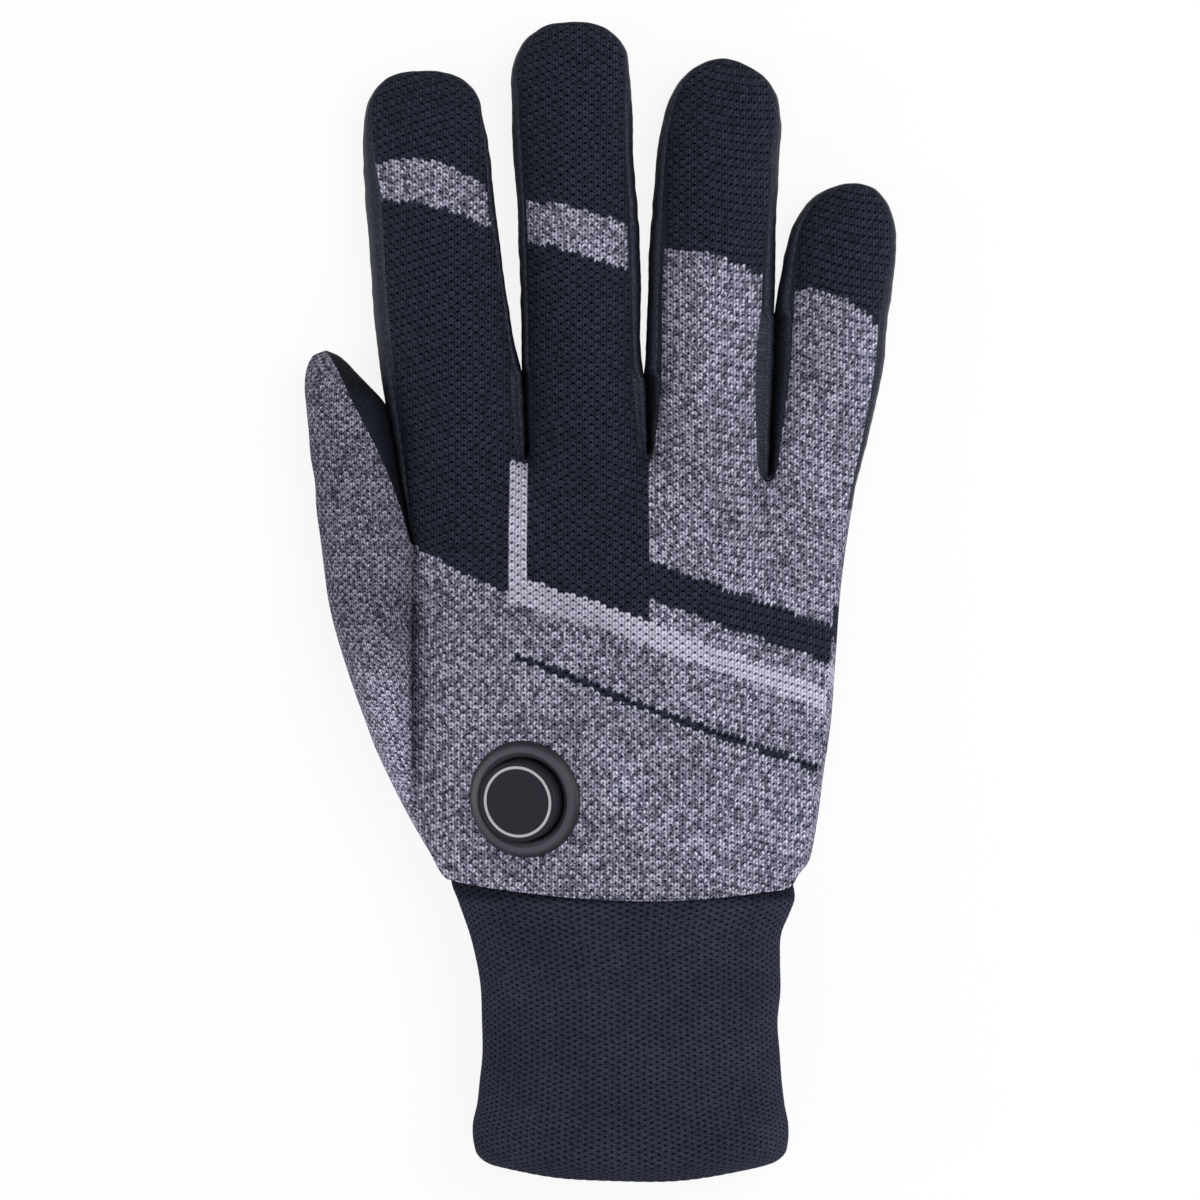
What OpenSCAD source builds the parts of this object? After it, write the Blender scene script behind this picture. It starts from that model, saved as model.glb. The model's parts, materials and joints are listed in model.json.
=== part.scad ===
// Right-hand knitted touchscreen glove with a leather palm, a rib cuff and a
// round press-button light module in a soft holder on the back of the hand.
// It lies palm down: +Z is the back of the hand and +Y is the way the fingers point.

/* [Fingers] */
// Length of the index finger from its crotch to its tip
index_length = 86; // [72:1:103]
// Length of the middle finger
middle_length = 97; // [80:1:117]
// Length of the ring finger
ring_length = 89; // [75:1:106]
// Length of the little finger
little_length = 66; // [56:1:79]
// Length of the thumb past its crotch
thumb_length = 43; // [36:1:51]
// Width of the index finger at its base
index_width = 28.2; // [24:0.1:33]
// Width of the middle finger at its base
middle_width = 25.6; // [22:0.1:30]
// Width of the ring finger at its base
ring_width = 26.2; // [22:0.1:31]
// Width of the little finger at its base
little_width = 20.8; // [18:0.1:25]
// Thickness of a finger from palm side to back
finger_thickness = 20.6; // [17.1:0.1:24.8]
// Gap between one finger and the next at the base
finger_gap = 0.5; // [0.4:0.1:0.8]

/* [Hand and cuff] */
// Length from the cuff seam to the finger crotches
palm_length = 91; // [75:1:110]
// Thickness of the hand at the middle of the palm
hand_thickness = 34; // [28:0.5:41]
// Length of the rib cuff
cuff_length = 62; // [52:1:75]
// Width of the cuff at its waist
cuff_width = 64; // [53:1:77]
// Height of the cuff at its waist
cuff_height = 30; // [25:0.5:34]

/* [Fabric] */
// Thickness of the knitted back and the leather palm
shell_t = 1.2; // [0.8:0.05:1.6]
// Thickness of the fleece lining
lining_t = 1.4; // [1.0:0.05:1.8]
// Thickness of the folded rib cuff
cuff_t = 3.0; // [2.4:0.1:3.8]
// Thickness of the moulded grip bars under the palm
grip_t = 0.5; // [0.3:0.05:0.8]
// Gap left between two layers of cloth
layer_gap = 0.15; // [0.1:0.05:0.25]

/* [Joints] */
// Bend of a finger at its base joint
base_bend = 65; // [50:1:70]
// Bend of a finger at its middle joint
mid_bend = 70; // [50:1:75]
// Bend of the thumb
thumb_bend = 50; // [40:1:60]

/* [Light module] */
// Radius of the puck
puck_r = 8.7; // [7.4:0.1:10.5]
// Width of the soft holder's flange round the puck
flange_w = 4.0; // [3.6:0.1:4.8]
// Height of the puck's top over the cloth
puck_rise = 4.8; // [4.4:0.1:5.8]
// Depth of the holder's cup under the cloth
cup_depth = 3.0; // [2.6:0.1:3.6]
// Wall of the puck's plastic housing
housing_t = 0.7; // [0.6:0.05:0.8]
// Travel of the press button
button_travel = 0.5; // [0.3:0.05:0.55]
// Lean of the module towards the thumb
module_tilt = 20; // [16:1:24]
// Lean of the module towards the wrist
module_nod = 6; // [3:1:9]

/* [Hidden] */

// Cloth layers, as depths under the outer surface.
lining_out = shell_t + layer_gap;
lining_in = lining_out + lining_t;
// Points round one section, and where its seams run: steps of 15 degrees from +X.
ring_n = 24;
step = 360 / ring_n;
seam_tr = 3;
seam_tl = 9;
seam_bl = 15;
seam_br = 21;
// The hand's own seams: the knit wraps round the little-finger side.
hand_tl = 10;
hand_bl = 15;
hand_br = -2;
joint_gap = 0.3;
wedge_spare = 2.5;

function lerp(a, b, t) = a + (b - a) * t;
function power(v, e) = sign(v) * pow(abs(v), e);
// Value at y in a list of rows [y, value, ...], straight between rows.
function along(rows, y, k, i = 0) =
    (i >= len(rows) - 2 || y <= rows[i + 1][0])
    ? lerp(rows[i][k], rows[i + 1][k],
           min(1, max(0, (y - rows[i][0]) / (rows[i + 1][0] - rows[i][0]))))
    : along(rows, y, k, i + 1);

// A finger: [x, y, tilt, length, base width, tip width, thickness, base joint, middle joint].
knuckle_y = 28;
hand_left = -44.2;
index_x = hand_left + index_width / 2;
middle_x = hand_left + index_width + finger_gap + middle_width / 2;
ring_x = middle_x + middle_width / 2 + finger_gap + ring_width / 2;
little_x = ring_x + ring_width / 2 + finger_gap + little_width / 2;
hand_right = little_x + little_width / 2;
little_drop = 3;
base_joint = 12;
mid_joint_share = 0.5;
fingers = [
    [index_x, knuckle_y, 6.2, index_length, index_width, index_width - 1.4, finger_thickness],
    [middle_x, knuckle_y, 2.0, middle_length, middle_width, middle_width + 0.4, finger_thickness],
    [ring_x, knuckle_y, -2.7, ring_length, ring_width, ring_width, finger_thickness],
    [little_x, knuckle_y - little_drop, -6.4, little_length, little_width, little_width + 2.4,
     finger_thickness - 1.4]];
function mid_joint(f) = f[3] * mid_joint_share;
function half_w(f, v) = lerp(f[4], f[5], min(1, max(0, v / f[3]))) / 2;
function axis_z(f) = grip_t + f[6] / 2;
section_p = 2.6;
tip_round = 12.5;
tip_angles = [20, 40, 58, 72, 83, 89];

// Shift along the finger that opens a wedge under a joint's axis, so that the palm side can fold.
function wedge(f, z, angle) = max(0, axis_z(f) - z) * tan(angle / 2 + wedge_spare);

// One point of a finger's section: t under the surface, v along the finger, c of its full size.
function finger_point(f, a, t, v, start_angle, end_angle, share, c = 1) =
    let (z = axis_z(f) + (f[6] / 2 - t) * c * power(sin(a), 2 / section_p),
         y = v + wedge(f, z, start_angle) * (1 - share) - wedge(f, z, end_angle) * share,
         x = (half_w(f, y) - t) * c * power(cos(a), 2 / section_p))
    [f[0] + x * cos(f[2]) - y * sin(f[2]), f[1] + x * sin(f[2]) + y * cos(f[2]), z];

// Rings of a straight stretch of finger, t under the surface.
function stretch_rings(f, v0, v1, n, t, a0, a1) =
    [for (i = [0:n]) let (v = lerp(v0, v1, i / n))
        [for (j = [0:ring_n - 1])
            finger_point(f, j * step, t, v, a0, a1, i / n)]];
// Rings of the rounded end.
function end_rings(f, t) =
    [for (u = tip_angles)
        [for (j = [0:ring_n - 1])
            finger_point(f, j * step, t, f[3] - tip_round + (tip_round - t) * sin(u),
                         0, 0, 0, cos(u))]];

function sleeve_rings(f, t, v0 = -3) =
    stretch_rings(f, v0, base_joint - joint_gap / 2, 2, t, 0, base_bend);
function base_rings(f, t) =
    stretch_rings(f, base_joint + joint_gap / 2, mid_joint(f) - joint_gap / 2, 3, t,
                  base_bend, mid_bend);
function tip_rings(f, t) =
    concat(stretch_rings(f, mid_joint(f) + joint_gap / 2, f[3] - tip_round, 2, t, mid_bend, 0),
           end_rings(f, t));

// A strip of shell between two stacks of rings, from point j0 to point j1 of each ring.
module patch(outer, inner, j0, j1) {
    n = len(outer);
    m = j1 - j0 + 1;
    points = concat(
        [for (i = [0:n - 1], j = [j0:j1]) outer[i][(j + ring_n) % ring_n]],
        [for (i = [0:n - 1], j = [j0:j1]) inner[i][(j + ring_n) % ring_n]]);
    s = n * m;
    faces = concat(
        [for (i = [0:n - 2], j = [0:m - 2]) each let (a = i * m + j)
            [[a, a + 1, a + m + 1], [a, a + m + 1, a + m]]],
        [for (i = [0:n - 2], j = [0:m - 2]) each let (a = s + i * m + j)
            [[a, a + m + 1, a + 1], [a, a + m, a + m + 1]]],
        [for (j = [0:m - 2]) each
            [[j, s + j + 1, j + 1], [j, s + j, s + j + 1]]],
        [for (j = [0:m - 2]) each let (a = (n - 1) * m + j)
            [[a, a + 1, s + a + 1], [a, s + a + 1, s + a]]],
        [for (i = [0:n - 2]) each let (a = i * m)
            [[a, a + m, s + a + m], [a, s + a + m, s + a]]],
        [for (i = [0:n - 2]) each let (a = i * m + m - 1)
            [[a, s + a + m, a + m], [a, s + a, s + a + m]]]);
    polyhedron(points, faces);
}

// A closed solid through a stack of rings.
module loft(rings) {
    n = len(rings);
    m = len(rings[0]);
    points = [for (r = rings) each r];
    faces = concat(
        [for (i = [0:n - 2], j = [0:m - 1]) each let (a = i * m + j, b = i * m + (j + 1) % m)
            [[a, b, b + m], [a, b + m, a + m]]],
        [[for (j = [m - 1:-1:0]) j]],
        [[for (j = [0:m - 1]) (n - 1) * m + j]]);
    polyhedron(points, faces);
}

// A tube: the solid through the outer rings less the one through the inner rings.
module tube(outer, inner) {
    n = len(outer);
    m = ring_n;
    s = n * m;
    points = concat([for (r = outer) each r], [for (r = inner) each r]);
    faces = concat(
        [for (i = [0:n - 2], j = [0:m - 1]) each let (a = i * m + j, b = i * m + (j + 1) % m)
            [[a, b, b + m], [a, b + m, a + m]]],
        [for (i = [0:n - 2], j = [0:m - 1]) each
            let (a = s + i * m + j, b = s + i * m + (j + 1) % m)
            [[a, b + m, b], [a, a + m, b + m]]],
        [for (j = [0:m - 1]) each let (a = j, b = (j + 1) % m)
            [[a, s + b, b], [a, s + a, s + b]]],
        [for (j = [0:m - 1]) each let (a = s - m + j, b = s - m + (j + 1) % m)
            [[a, b, s + b], [a, s + b, s + a]]]);
    polyhedron(points, faces);
}

// The hand, as rows [y, left x, right x, thickness, squareness of back, squareness of palm].
cuff_seam_y = knuckle_y - palm_length;
crotch_y = 11;
cuff_x = 6.8;
seam_half = cuff_width / 2 + 4.6;
seam_height = cuff_height + 3;
hand_rows = [
    [cuff_seam_y, cuff_x - seam_half, cuff_x + seam_half - 1, seam_height, 2.1, 2.3],
    [cuff_seam_y + palm_length * 0.06, cuff_x - seam_half - 5.4, hand_right - 12.6,
     lerp(seam_height, hand_thickness, 0.6), 2.15, 3],
    [cuff_seam_y + palm_length * 0.20, -44, hand_right - 9.6, hand_thickness, 2.2, 4],
    [cuff_seam_y + palm_length * 0.47, -45, hand_right - 6.4, hand_thickness, 2.3, 4.5],
    [crotch_y, -42.4, hand_right - 3.6, hand_thickness * 0.8, 2.8, 4.5],
    [knuckle_y - 0.5, hand_left + 0.2, hand_right - 0.2, finger_thickness, 4.5, 4.5]];
hand_ys = [for (r = hand_rows) r[0]];
// The back stands a little higher on the little-finger side than over the thumb.
back_skew = 0.5;
function skew_at(h) = back_skew * max(0, h / hand_thickness - finger_thickness / hand_thickness);

function row_point(row, a, t) =
    let (p = sin(a) < 0 ? row[5] : row[4],
         x = ((row[2] - row[1]) / 2 - t) * power(cos(a), 2 / p),
         s = power(sin(a), 2 / p))
    [(row[1] + row[2]) / 2 + x, row[0],
     grip_t + row[3] / 2 + (row[3] / 2 - t) * s + skew_at(row[3]) * x * max(0, s)];
function hand_point(y, a, t, i = 0) =
    (i >= len(hand_rows) - 2 || y <= hand_rows[i + 1][0])
    ? lerp(row_point(hand_rows[i], a, t), row_point(hand_rows[i + 1], a, t),
           (y - hand_rows[i][0]) / (hand_rows[i + 1][0] - hand_rows[i][0]))
    : hand_point(y, a, t, i + 1);
function hand_rings(ys, t) = [for (y = ys) [for (j = [0:ring_n - 1]) hand_point(y, j * step, t)]];
// Top of the outer cloth over a place on the back.
function back_height(x, y) =
    let (l = along(hand_rows, y, 1), r = along(hand_rows, y, 2), h = along(hand_rows, y, 3),
         p = along(hand_rows, y, 4), dx = x - (l + r) / 2,
         s = pow(1 - pow(abs(dx) / ((r - l) / 2), p), 1 / p))
    grip_t + h / 2 + h / 2 * s + skew_at(h) * dx * s;

// Rings of the hand between two y, with the rows that lie between them.
function hand_between(y0, y1, t) =
    hand_rings(concat([y0], [for (y = hand_ys) if (y > y0 + 0.5 && y < y1 - 0.5) y], [y1]), t);

// The thumb, as rows [y, outer x, thickness]: its outer edge and its bulk.
thumb_top = crotch_y + thumb_length;
thumb_joint_y = crotch_y + 10;
thumb_h = 18.5;
thumb_rows = [
    [cuff_seam_y, -33, 15],
    [cuff_seam_y + palm_length * 0.06, -36.5, 16],
    [cuff_seam_y + palm_length * 0.20, -44, 17],
    [cuff_seam_y + palm_length * 0.47, -54.8, thumb_h],
    [crotch_y, -60.4, thumb_h],
    [thumb_joint_y, -61.4, thumb_h],
    [thumb_top - 15, -64.2, thumb_h - 1]];
thumb_inner = [[cuff_seam_y, -30], [crotch_y - 20, -36], [crotch_y, -42.8],
               [thumb_joint_y, -44.8], [knuckle_y, -45.2], [thumb_top - 15, -46.4]];
thumb_tip_shift = 1.4;
thumb_round = 15;
function thumb_z(h) = grip_t + h / 2;
function thumb_point(y, a, t, start_angle, end_angle, share) =
    let (o = along(thumb_rows, y, 1), i = along(thumb_inner, y, 1), h = along(thumb_rows, y, 2),
         z = thumb_z(h) + (h / 2 - t) * power(sin(a), 2 / section_p),
         drop = max(0, thumb_z(thumb_h) - z))
    [(o + i) / 2 + ((i - o) / 2 - t) * power(cos(a), 2 / section_p),
     y + drop * (tan(start_angle / 2 + wedge_spare) * (start_angle > 0 ? 1 - share : 0)
                 - tan(end_angle / 2 + wedge_spare) * (end_angle > 0 ? share : 0)), z];
function thumb_rings(y0, y1, n, t, a0, a1) =
    [for (i = [0:n]) [for (j = [0:ring_n - 1])
        thumb_point(lerp(y0, y1, i / n), j * step, t, a0, a1, i / n)]];
// The rounded end leans outwards as it closes.
function thumb_end(t) =
    let (y0 = thumb_top - thumb_round, h = along(thumb_rows, y0, 2), o = along(thumb_rows, y0, 1),
         i = along(thumb_inner, y0, 1))
    [for (u = tip_angles) [for (j = [0:ring_n - 1])
        [(o + i) / 2 - thumb_tip_shift * sin(u)
             + ((i - o) / 2 - t) * cos(u) * power(cos(j * step), 2 / section_p),
         y0 + (thumb_round - t) * sin(u),
         thumb_z(h) + (h / 2 - t) * cos(u) * power(sin(j * step), 2 / section_p)]]];
function thumb_sleeve(t) =
    thumb_rings(crotch_y, thumb_joint_y - joint_gap / 2, 1, t, 0, thumb_bend);
function thumb_tip_rings(t) =
    concat(thumb_rings(thumb_joint_y + joint_gap / 2, thumb_top - thumb_round, 2, t,
                       thumb_bend, 0), thumb_end(t));

// Several overlapping strips become one closed panel.
module panel() {
    resize([0, 0, 0]) union() children();
}

// The light module's own frame: +Z leaves the back of the hand, 0 is the cloth under the flange.
module_x = -16;
module_y = cuff_seam_y + 19.7;
flange_sink = 0.75;
module module_frame() {
    translate([module_x, module_y, back_height(module_x, module_y)])
        rotate([module_nod, -module_tilt, 0]) translate([0, 0, -flange_sink]) children();
}
holder_r = puck_r + flange_w;
cup_wall = 0.9;
cup_floor = 0.8 - cup_depth;
puck_gap = 0.3;
cup_r = puck_r + puck_gap + cup_wall;
cloth_hole_r = cup_r + 0.3;
backing_r = holder_r + 0.6;
backing_t = 0.8;
flange_drop = 0.9;
backing_z = -flange_drop - shell_t - backing_t;

module back_panel() {
    color("slategray") panel() {
        difference() {
            patch(hand_rings(hand_ys, 0), hand_rings(hand_ys, shell_t), hand_br, hand_tl);
            module_frame() {
                translate([0, 0, -12]) cylinder(r = cloth_hole_r, h = 30, $fn = 40);
                cylinder(r = holder_r + 0.1, h = 12, $fn = 40);
                // room for the backing ring where a flatter hand would dip under it
                translate([0, 0, backing_z - 6]) cylinder(r = backing_r + 0.1, h = backing_t + 6, $fn = 40);
            }
        }
        for (f = fingers) patch(sleeve_rings(f, 0), sleeve_rings(f, shell_t), seam_tr, seam_tl);
    }
}

module palm_panel() {
    color("dimgray") panel() {
        patch(hand_rings(hand_ys, 0), hand_rings(hand_ys, shell_t), hand_bl, ring_n + hand_br);
        for (f = fingers) patch(sleeve_rings(f, 0), sleeve_rings(f, shell_t), seam_bl, seam_br);
    }
}

// Side walls at the foot of each finger, and the wall under the index finger down to the thumb.
module fourchettes() {
    color("black") {
        for (f = fingers) {
            v0 = knuckle_y + 1.2 - f[1];
            patch(sleeve_rings(f, 0, v0), sleeve_rings(f, shell_t, v0), seam_tl, seam_bl);
            patch(sleeve_rings(f, 0, v0), sleeve_rings(f, shell_t, v0), seam_br, ring_n + seam_tr);
        }
        patch(hand_between(crotch_y, knuckle_y - 5, 0), hand_between(crotch_y, knuckle_y - 5, shell_t),
              hand_tl, hand_bl);
    }
}

// The gusset leaves the hand along both seams and swells round the ball of the thumb.
gusset_first = 7;
gusset_last = 17;
function gusset_point(y, j, t) =
    let (w = min(1, (y - cuff_seam_y) / (palm_length * 0.2)),
         q = thumb_point(y, j * step, t, 0, 0, 0),
         u = (j - gusset_first) / (gusset_last - gusset_first),
         e = hand_point(y, lerp(hand_tl, hand_bl, u) * step, t))
    j < gusset_first ? hand_point(y, hand_tl * step, t)
    : j > gusset_last ? hand_point(y, hand_bl * step, t)
    : lerp(e, q, w);
function gusset_rings(t) =
    [for (y = hand_ys) if (y < crotch_y + 0.1) [for (j = [0:ring_n - 1]) gusset_point(y, j, t)]];
module thumb_gusset() {
    color("gray") panel() {
        patch(gusset_rings(0), gusset_rings(shell_t), gusset_first - 1, gusset_last + 1);
        patch(thumb_sleeve(0), thumb_sleeve(shell_t), 4, 16);
    }
}

module thumb_crotch() {
    color("black") patch(thumb_sleeve(0), thumb_sleeve(shell_t), 16, ring_n + 4);
}

lining_top = knuckle_y - 8;
module hand_lining() {
    color("darkslategray") resize([0, 0, 0]) difference() {
        tube(hand_between(cuff_seam_y, lining_top, lining_out),
             hand_between(cuff_seam_y, lining_top, lining_in));
        module_frame() translate([0, 0, -12]) cylinder(r = backing_r + 0.6, h = 30, $fn = 40);
        translate([0, 0, -1]) linear_extrude(hand_thickness + 12)
            polygon([[-80, cuff_seam_y + 1], [-25, cuff_seam_y + 1], [-35.5, cuff_seam_y + 18],
                     [-38, crotch_y - 1], [-80, crotch_y - 1]]);
    }
}

// The cuff, as rows [y, half width, height, shift of centre].
cuff_rows = [
    [cuff_seam_y - cuff_length, cuff_width / 2 + 1.2, cuff_height + 1, 0.4],
    [cuff_seam_y - cuff_length + 1.2, cuff_width / 2 + 2.3, cuff_height + 2.4, 0.4],
    [cuff_seam_y - cuff_length * 0.76, cuff_width / 2 + 1.1, cuff_height + 1.2, 0.3],
    [cuff_seam_y - cuff_length * 0.45, cuff_width / 2, cuff_height, 0],
    [cuff_seam_y - cuff_length * 0.18, cuff_width / 2 + 1.9, cuff_height + 1.4, -0.2],
    [cuff_seam_y - layer_gap, seam_half - 1, seam_height - 0.6, -0.4]];
function cuff_rings(t) =
    [for (r = cuff_rows) [for (j = [0:ring_n - 1])
        [cuff_x + r[3] + (r[1] - t) * power(cos(j * step), 2 / 2.1), r[0],
         grip_t + r[2] / 2 + (r[2] / 2 - t) * power(sin(j * step), 2 / 2.1)]]];
module rib_cuff() {
    color("midnightblue") tube(cuff_rings(0), cuff_rings(cuff_t));
}

label_w = 12;
label_l = 18;
label_t = 0.4;
module care_label() {
    color("white") translate([cuff_x - label_w / 2, cuff_seam_y - 2 - label_l, grip_t + cuff_t + 0.9])
        cube([label_w, label_l, label_t]);
}

// Chevrons of grip print under the palm: [distance up the palm, reach to each side].
grip_rows = [[0.19, 17], [0.32, 23], [0.45, 26], [0.58, 26], [0.71, 24]];
grip_bar_w = 3.4;
grip_x = 5;
grip_rise = 5.5;
module grip_print() {
    color("black") for (r = grip_rows)
        translate([grip_x, cuff_seam_y + palm_length * r[0], 0]) linear_extrude(grip_t)
            polygon([[0, 0], [r[1], grip_rise], [r[1], grip_rise + grip_bar_w], [0, grip_bar_w],
                     [-r[1], grip_rise + grip_bar_w], [-r[1], grip_rise]]);
}

// Conductive pad let into the palm side of a fingertip.
pad_t = 0.4;
pad_r = 5;
module index_touch_pad() {
    f = fingers[0];
    color("silver") translate([f[0], f[1], 0]) rotate(f[2])
        translate([0, f[3] - tip_round - 1, grip_t - pad_t]) cylinder(r = pad_r, h = pad_t, $fn = 48);
}
module thumb_touch_pad() {
    color("silver") translate([lerp(along(thumb_rows, thumb_top - 16, 1),
                                    along(thumb_inner, thumb_top - 16, 1), 0.5),
                               thumb_top - 16, grip_t - pad_t])
        cylinder(r = pad_r - 1, h = pad_t, $fn = 48);
}

// Soft holder: a dished flange on the cloth, and a cup through it that grips the puck.
module holder() {
    color("dimgray") module_frame() rotate_extrude($fn = 96) {
        polygon([[0, -cup_depth], [cup_r, -cup_depth], [cup_r, 0], [holder_r, 0],
                 [holder_r, 0.5], [holder_r - 0.4, 1.1], [holder_r - 1.3, 1.7],
                 [holder_r - 2.2, 1.8], [cup_r + 0.1, 1.3], [puck_r + puck_gap, 0.7],
                 [puck_r + puck_gap, cup_floor], [0, cup_floor]]);
    }
}

// Stiff ring under the cloth that the holder is bonded to.
module backing_ring() {
    color("black") module_frame() translate([0, 0, backing_z]) difference() {
        cylinder(r = backing_r, h = backing_t, $fn = 96);
        translate([0, 0, -1]) cylinder(r = cup_r + 0.05, h = backing_t + 2, $fn = 96);
    }
}

// Puck: a shallow housing below, a cap above that slides inside its wall.
puck_floor = cup_floor + 0.05;
rim_z = 1.5;
cap_z = rim_z + button_travel + 0.1;
skirt_gap = 0.08;
skirt_t = 0.4;
skirt_r = puck_r - housing_t - skirt_gap;
skirt_z = 0.3;
top_t = 0.8;
board_r = skirt_r - skirt_t - 0.15;
board_t = 0.8;
cell_t = 2.0;
cell_z = puck_floor + housing_t;
board_z = cell_z + cell_t + 0.1;
cell_r = board_r - 1.57;
module puck_base() {
    color("black") module_frame() translate([0, 0, puck_floor]) difference() {
        cylinder(r = puck_r, h = rim_z - puck_floor, $fn = 96);
        translate([0, 0, housing_t]) cylinder(r = puck_r - housing_t, h = 10, $fn = 96);
    }
}
groove_in = puck_r - 1.6;
groove_out = puck_r - 1.0;
groove_t = 0.5;
module button_cap() {
    color("black") module_frame() difference() {
        union() {
            translate([0, 0, cap_z]) cylinder(r = puck_r, h = puck_rise - 0.5 - cap_z, $fn = 96);
            translate([0, 0, puck_rise - 0.5]) cylinder(r1 = puck_r, r2 = puck_r - 0.5, h = 0.5, $fn = 96);
            translate([0, 0, skirt_z]) cylinder(r = skirt_r, h = cap_z - skirt_z + 0.2, $fn = 96);
        }
        translate([0, 0, skirt_z - 1]) cylinder(r = skirt_r - skirt_t, h = puck_rise - top_t - skirt_z + 1,
                                                $fn = 96);
        translate([0, 0, puck_rise - groove_t]) difference() {
            cylinder(r = groove_out, h = 2, $fn = 96);
            translate([0, 0, -1]) cylinder(r = groove_in, h = 4, $fn = 96);
        }
    }
}
module light_ring() {
    color("white") module_frame() translate([0, 0, puck_rise - groove_t]) difference() {
        cylinder(r = groove_out, h = groove_t, $fn = 96);
        translate([0, 0, -1]) cylinder(r = groove_in, h = groove_t + 2, $fn = 96);
    }
}
// Four posts carry the board on the housing floor, outside the cell.
post_r = 0.5;
module circuit_board() {
    color("green") module_frame() union() {
        translate([0, 0, board_z]) cylinder(r = board_r, h = board_t, $fn = 96);
        for (a = [45:90:315]) rotate(a)
            translate([board_r - post_r - 0.25, 0, cell_z])
                cylinder(r = post_r, h = board_z - cell_z + 0.1, $fn = 24);
    }
}
module coin_cell() {
    color("silver") module_frame() translate([0, 0, cell_z]) cylinder(r = cell_r, h = cell_t, $fn = 96);
}
switch_w = 3;
switch_t = 0.5;
module switch_dome() {
    color("silver") module_frame() translate([0, 0, board_z + board_t]) {
        translate([-switch_w / 2, -switch_w / 2, 0]) cube([switch_w, switch_w, switch_t]);
        translate([0, 0, switch_t]) cylinder(r1 = 1.1, r2 = 0.7, h = 0.25, $fn = 32);
    }
}
led_w = 1.0;
module leds() {
    color("white") module_frame() for (a = [0:60:300]) rotate(a)
        translate([board_r - 1.6, -led_w / 2, board_z + board_t]) cube([led_w, led_w, 0.5]);
}
// Round seal that the puck carries in the cup, under its floor's edge.
seal_wire = 0.24;
module seal_ring() {
    color("red") module_frame() translate([0, 0, -0.2]) rotate_extrude($fn = 96)
        translate([puck_r + puck_gap / 2, 0]) circle(r = puck_gap / 2 - 0.02, $fn = 24);
}

module finger_piece(f, s, p) {
    o = s == "base" ? base_rings(f, 0) : tip_rings(f, 0);
    i = s == "base" ? base_rings(f, shell_t) : tip_rings(f, shell_t);
    if (p == "back") color("slategray") patch(o, i, seam_tr, seam_tl);
    if (p == "palm") color("dimgray") patch(o, i, seam_bl, seam_br);
    if (p == "sides") color("black") {
        patch(o, i, seam_tl, seam_bl);
        patch(o, i, seam_br, ring_n + seam_tr);
    }
    if (p == "lining") color("darkslategray")
        tube(s == "base" ? base_rings(f, lining_out) : tip_rings(f, lining_out),
             s == "base" ? base_rings(f, lining_in) : tip_rings(f, lining_in));
}

module thumb_tip_back() {
    color("gray") patch(thumb_tip_rings(0), thumb_tip_rings(shell_t), 4, 16);
}
module thumb_tip_palm() {
    color("black") patch(thumb_tip_rings(0), thumb_tip_rings(shell_t), 16, ring_n + 4);
}
module thumb_tip_lining() {
    color("darkslategray") tube(thumb_tip_rings(lining_out), thumb_tip_rings(lining_in));
}

back_panel();
palm_panel();
fourchettes();
thumb_gusset();
thumb_crotch();
hand_lining();
rib_cuff();
care_label();
grip_print();
for (k = [0:3], s = ["base", "tip"], p = ["back", "palm", "sides", "lining"])
    finger_piece(fingers[k], s, p);
thumb_tip_back();
thumb_tip_palm();
thumb_tip_lining();
index_touch_pad();
thumb_touch_pad();
holder();
backing_ring();
puck_base();
button_cap();
light_ring();
circuit_board();
coin_cell();
switch_dome();
leds();
seal_ring();
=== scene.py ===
import json
import math

import bpy
import numpy as np
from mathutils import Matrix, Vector
from mathutils.geometry import delaunay_2d_cdt
from mathutils.kdtree import KDTree


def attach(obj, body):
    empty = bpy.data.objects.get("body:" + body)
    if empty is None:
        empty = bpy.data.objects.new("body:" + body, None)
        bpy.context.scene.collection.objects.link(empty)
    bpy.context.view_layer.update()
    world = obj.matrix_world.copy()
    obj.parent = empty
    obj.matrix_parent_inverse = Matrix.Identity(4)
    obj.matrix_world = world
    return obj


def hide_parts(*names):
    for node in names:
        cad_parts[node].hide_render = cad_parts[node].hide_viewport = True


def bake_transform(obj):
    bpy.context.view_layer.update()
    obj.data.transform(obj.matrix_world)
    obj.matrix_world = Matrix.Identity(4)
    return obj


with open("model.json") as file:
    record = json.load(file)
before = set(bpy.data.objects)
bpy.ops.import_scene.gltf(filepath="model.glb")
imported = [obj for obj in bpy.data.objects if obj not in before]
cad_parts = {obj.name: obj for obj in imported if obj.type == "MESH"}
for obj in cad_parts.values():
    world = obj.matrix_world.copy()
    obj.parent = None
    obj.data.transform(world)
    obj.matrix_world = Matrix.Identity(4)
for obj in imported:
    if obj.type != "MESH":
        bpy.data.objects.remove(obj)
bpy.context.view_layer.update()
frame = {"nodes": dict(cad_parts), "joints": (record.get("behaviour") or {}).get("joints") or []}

SCENE = bpy.context.scene
MM = 0.001
TURN = 2 * math.pi
UV_MM = 100.0            # one unit of the cloth map
LEAST_SIDE = 0.0101
WALL_DEPTH = 13.0        # nominal depth of the side strips on the cloth map


# ---------------------------------------------------------------- camera and light
def look(obj, target):
    d = Vector(target) - obj.location
    obj.rotation_euler = d.to_track_quat("-Z", "Y").to_euler()


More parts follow.
